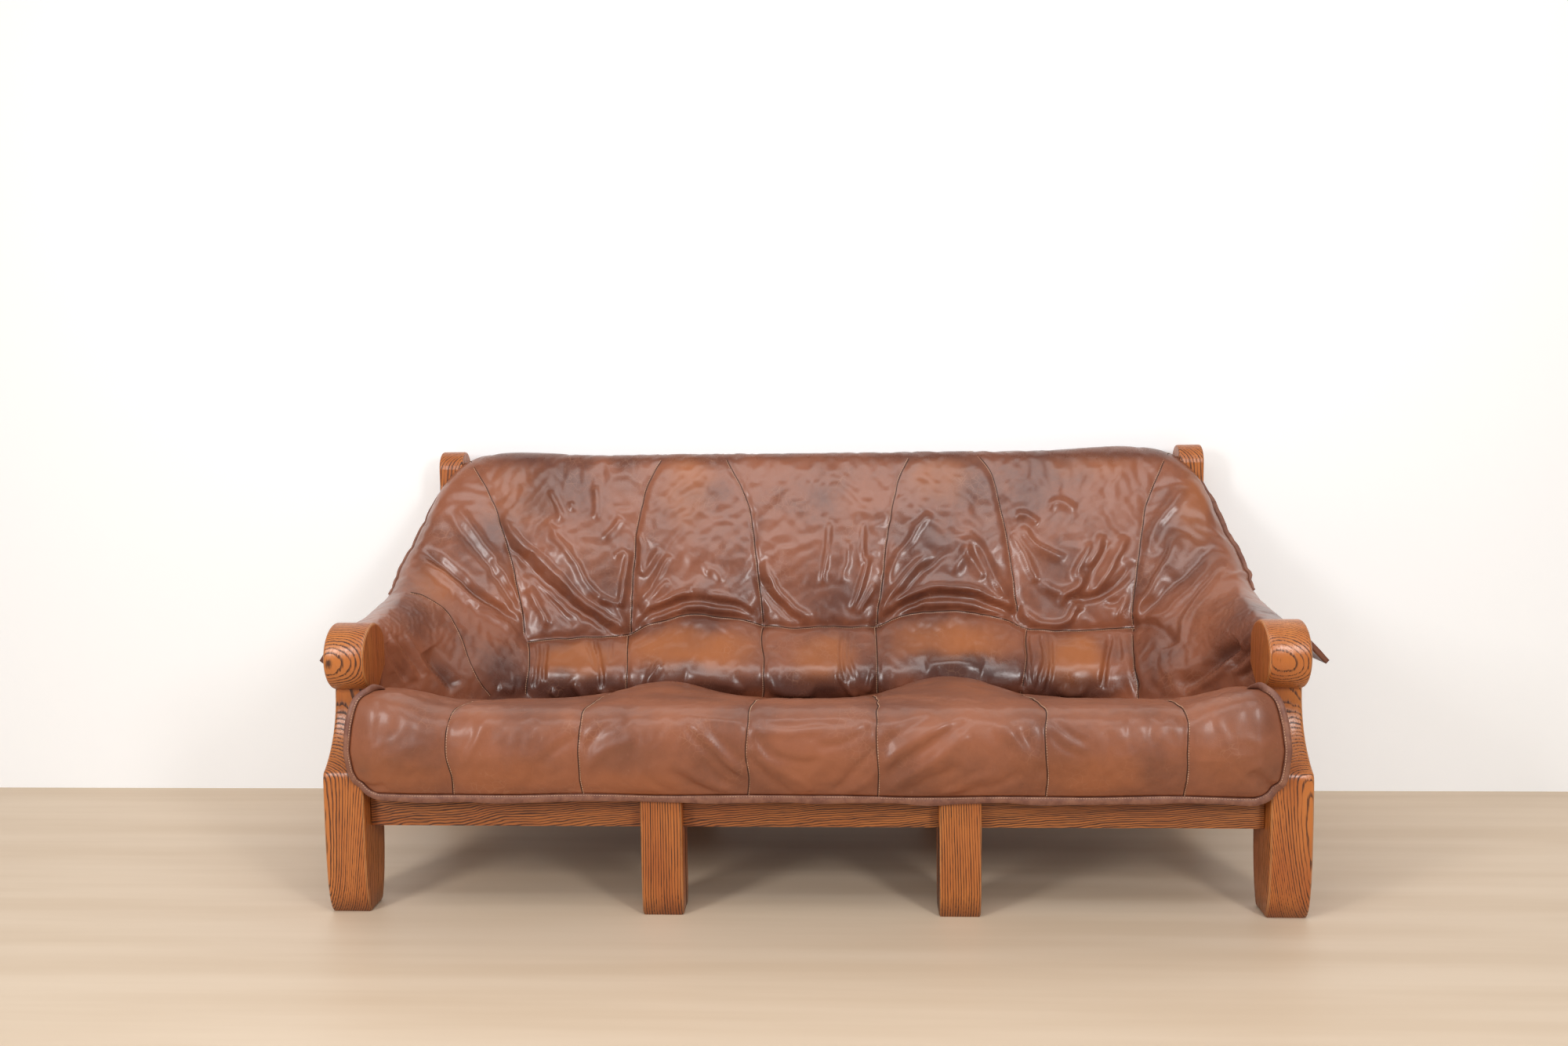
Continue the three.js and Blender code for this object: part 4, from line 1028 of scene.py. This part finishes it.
hem_leather, shader, where = new_material("hem_leather")
tone = where.noise(45.0, 4.0, 0.65).between(0.3, 0.7).blend(linear("74483b"), linear("93644f"))
finish_with(shader, Base_Color=tone, Roughness=0.5, Normal=where.noise(420.0, 2.0).bump(0.3, 0.0008))
roll_girth = 0.235
crest = int(np.searchsorted(girth, roll_girth))
edge_path = np.concatenate([seat_quilted[0, crest:0:-1], seat_quilted[:, 0], seat_quilted[-1, 1:crest + 1]])
run = np.gradient(edge_path, axis=0)
outward = np.stack([run[:, 2], run[:, 0] * 0, -run[:, 0]], axis=1)
for _ in range(12):
    outward[1:-1] = (outward[:-2] + outward[1:-1] * 2 + outward[2:]) / 4
outward /= np.linalg.norm(outward, axis=1)[:, None]
crept = noise_field(31, edge_path[:, 0], edge_path[:, 2], 0.07)
width = 0.015 + 0.003 * crept - 0.003 * np.abs(outward[:, 0])
band("seat_hem", edge_path + (0, -0.001, 0), outward, width, 0.004, hem_leather)

# Wing hems: the back pad's outer edge is bound with a thin dark strip that stands out beside the
# wings, wider on the right.
wing_line = 5.75
wing_row = int(np.searchsorted(up, wing_line / (len(pad_lines) - 1)))
for label, side, hem_width in (("left", -1, 0.006), ("right", 1, 0.011)):
    edge = quilted[:, wing_row]
    on_wing = np.where((edge[:, 0] * side > 0.80) & (edge[:, 1] - y_front > 0.46))[0]
    taper = np.sin(np.linspace(0.12, 0.93, len(on_wing)) * math.pi) ** 0.6
    out = normals_of(quilted)[on_wing, wing_row]
    band(f"wing_hem_{label}", edge[on_wing] - out * 0.002, out, 0.002 + hem_width * taper, 0.003,
         hem_leather)

# Tie strap: a short end of dark leather beside the right back post. It is sewn to the pad and
# ties it to the post.
post_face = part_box("back_post_right")[1].x
steps = 12
strap_line = np.array([(post_face - 0.002, y_front + 0.772, z) for z in np.linspace(0.718, 0.785, steps)])
strap_out = np.tile((1.0, 0.0, 0.0), (steps, 1))
strap_width = 0.006 + 0.011 * np.sin(np.linspace(0.10, 0.90, steps) * math.pi) ** 0.4
band("tie_strap", strap_line, strap_out, strap_width, 0.008, hem_leather)

# Seams: the panels are sewn edge to edge, which leaves a furrow, drawn as a thin dark tube of painted shade,
# with a row of short stitches of light waxed thread beside it. The seat's hem is topstitched with the same
# thread.
# the seams' shade is painted as a near-black brown tube
seam_shade_dark, shader, where = new_material("painted_seam_shade")
finish_with(shader, Base_Color=where.noise(60.0).blend(linear("2a1710"), linear("472819")), Roughness=0.85)
waxed_thread, shader, where = new_material("waxed_thread")
thread_tone = where.noise(35.0, 3.0).between(0.3, 0.7).blend(linear("b08062"), linear("e0b898"))
finish_with(shader, Base_Color=thread_tone, Roughness=0.6)


def laid_on(cover, chart_x, chart_z, points, lift, aside=0.0):
    """The line that a seam drawn in millimetres follows on a finished cover, aside from the seam."""
    points = np.array(points, float) / 1000
    drawn_line = through(points, np.linspace(0, 1, 400))
    lengths = np.concatenate([[0], np.cumsum(np.linalg.norm(np.diff(drawn_line, axis=0), axis=1))])
    places = np.arange(0, lengths[-1], 0.005)
    drawn_line = np.stack([np.interp(places, lengths, drawn_line[:, axis]) for axis in (0, 1)], axis=1)
    run = np.gradient(drawn_line, axis=0)
    run /= np.linalg.norm(run, axis=1)[:, None]
    drawn_line += aside * np.stack([run[:, 1], -run[:, 0]], axis=1)
    facing_out = normals_of(cover)
    line = []
    for place_x, place_z in drawn_line:
        near = np.exp(-((chart_x - place_x) ** 2 + (chart_z - place_z) ** 2) / 0.0045 ** 2)
        if near.sum() < 0.05:
            continue
        near = near[..., None] / near.sum()
        line.append((cover * near).sum(axis=(0, 1)) + lift * (facing_out * near).sum(axis=(0, 1)))
    line = np.array(line)
    for _ in range(3):
        line[1:-1] = (line[:-2] + line[1:-1] * 2 + line[2:]) / 4
    return line


def follow(name, lines, kind, sizes, material):
    """A thin dark tube of painted seam shade, or a row of stitches, along lines of points, made by Geometry
    Nodes as one mesh.
    """
    tree = bpy.data.node_groups.new(name, "GeometryNodeTree")
    tree.interface.new_socket("Lines", in_out="INPUT", socket_type="NodeSocketGeometry")
    named = {}
    for label in sizes:
        named[label] = tree.interface.new_socket(label, in_out="INPUT", socket_type="NodeSocketFloat")
    tree.interface.new_socket("Work", in_out="OUTPUT", socket_type="NodeSocketGeometry")
    entry = tree.nodes.new("NodeGroupInput")
    end = tree.nodes.new("NodeGroupOutput")
    size = {label: Shade(tree, entry.outputs[label]) for label in sizes}
    drawn_lines = Shade(tree, entry.outputs["Lines"])
    curve = drawn_lines.node("GeometryNodeMeshToCurve", {"Mesh": drawn_lines})
    if kind == "seam_shade":
        ring = curve.node("GeometryNodeCurvePrimitiveCircle", {"Resolution": 8, "Radius": size["Radius"]})
        values = {"Curve": curve, "Profile Curve": ring, "Fill Caps": True}
        work = curve.node("GeometryNodeCurveToMesh", values)
    else:
        values = {"Curve": curve, "Length": size["Step"]}
        even = curve.node("GeometryNodeResampleCurve", values, mode="LENGTH")
        stitch = curve.node("GeometryNodeMeshUVSphere", {"Segments": 6, "Rings": 4, "Radius": 1.0})
        tangent = curve.node("GeometryNodeInputTangent")
        turned = curve.node("FunctionNodeAlignRotationToVector", {"Vector": tangent}, axis="X")
        values = {0: size["Half Length"], 1: size["Radius"], 2: size["Radius"]}
        stretch = curve.node("ShaderNodeCombineXYZ", values)
        values = {"Points": even, "Instance": stitch, "Rotation": turned, "Scale": stretch}
        work = curve.node("GeometryNodeInstanceOnPoints", values)
    whole = work.node("GeometryNodeRealizeInstances", {"Geometry": work})
    done = whole.node("GeometryNodeSetMaterial", {"Geometry": whole, "Material": material})
    tree.links.new(done.socket, end.inputs[0])
    lines_mesh = bpy.data.meshes.new(name + "_lines")
    vertices = [tuple(point) for line in lines for point in line]
    edges = []
    start = 0
    for line in lines:
        edges += [(start + k, start + k + 1) for k in range(len(line) - 1)]
        start += len(line)
    lines_mesh.from_pydata(vertices, edges, [])
    holder = bpy.data.objects.new(name + "_lines", lines_mesh)
    bpy.context.collection.objects.link(holder)
    modifier = holder.modifiers.new("sewing", "NODES")
    modifier.node_group = tree
    for label, value in sizes.items():
        modifier[named[label].identifier] = value
    mesh = bpy.data.meshes.new_from_object(holder.evaluated_get(bpy.context.evaluated_depsgraph_get()))
    bpy.data.objects.remove(holder)
    mesh.polygons.foreach_set("use_smooth", [True] * len(mesh.polygons))
    piece = bpy.data.objects.new(name, mesh)
    bpy.context.collection.objects.link(piece)
    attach(piece, "root")


crest_line = 5
crest_row = int(np.searchsorted(up, crest_line / (len(pad_lines) - 1))) + 1
front_of_pad = quilted[:, :crest_row]
front_x, front_z = warp_x[:, :crest_row], warp_z[:, :crest_row]
arm_seam = [(-938, 569), (-900, 560), (-853, 527), (-835, 497), (-818, 448), (-804, 401), (-780, 355),
            (-755, 325)]
beside_seam = 0.0026
seam_shades = []
threads = []
for seam in back_seams + [lumbar_seam] + lower_seams + [arm_seam]:
    seam_shade = laid_on(front_of_pad, front_x, front_z, seam, lift=0.0002)
    thread = laid_on(front_of_pad, front_x, front_z, seam, aside=beside_seam, lift=0.0006)
    if seam in back_seams:
        # over the top rail and down the back to the pad's hem
        station = int(np.argmin(np.linalg.norm(quilted[:, crest_row - 1] - seam_shade[0], axis=1)))
        over = (quilted + 0.0004 * normals_of(quilted))[station, crest_row:][::-1]
        seam_shade = np.concatenate([over, seam_shade])
        thread = np.concatenate([over + (beside_seam, 0, 0), thread])
    seam_shades.append(seam_shade)
    threads.append(thread)
# the tubes of painted seam shade have a radius of 0.8 mm
groove = {"Radius": 0.0008}
follow("back_seam_shade_tubes", seam_shades, "seam_shade", groove, seam_shade_dark)
sewing = {"Step": 0.0052, "Half Length": 0.0021, "Radius": 0.0007}
follow("back_seam_stitches", threads, "stitches", sewing, waxed_thread)
seam_shades = [laid_on(seat_quilted, seat.x, seat.z, seam, lift=0.0002) for seam in seat_seams]
threads = [laid_on(seat_quilted, seat.x, seat.z, seam, aside=beside_seam, lift=0.0006) for seam in seat_seams]
follow("seat_seam_shade_tubes", seam_shades, "seam_shade", groove, seam_shade_dark)
threads.append(edge_path + outward * 0.0022 + (0, -0.0030, 0))
follow("seat_seam_stitches", threads, "stitches", sewing, waxed_thread)
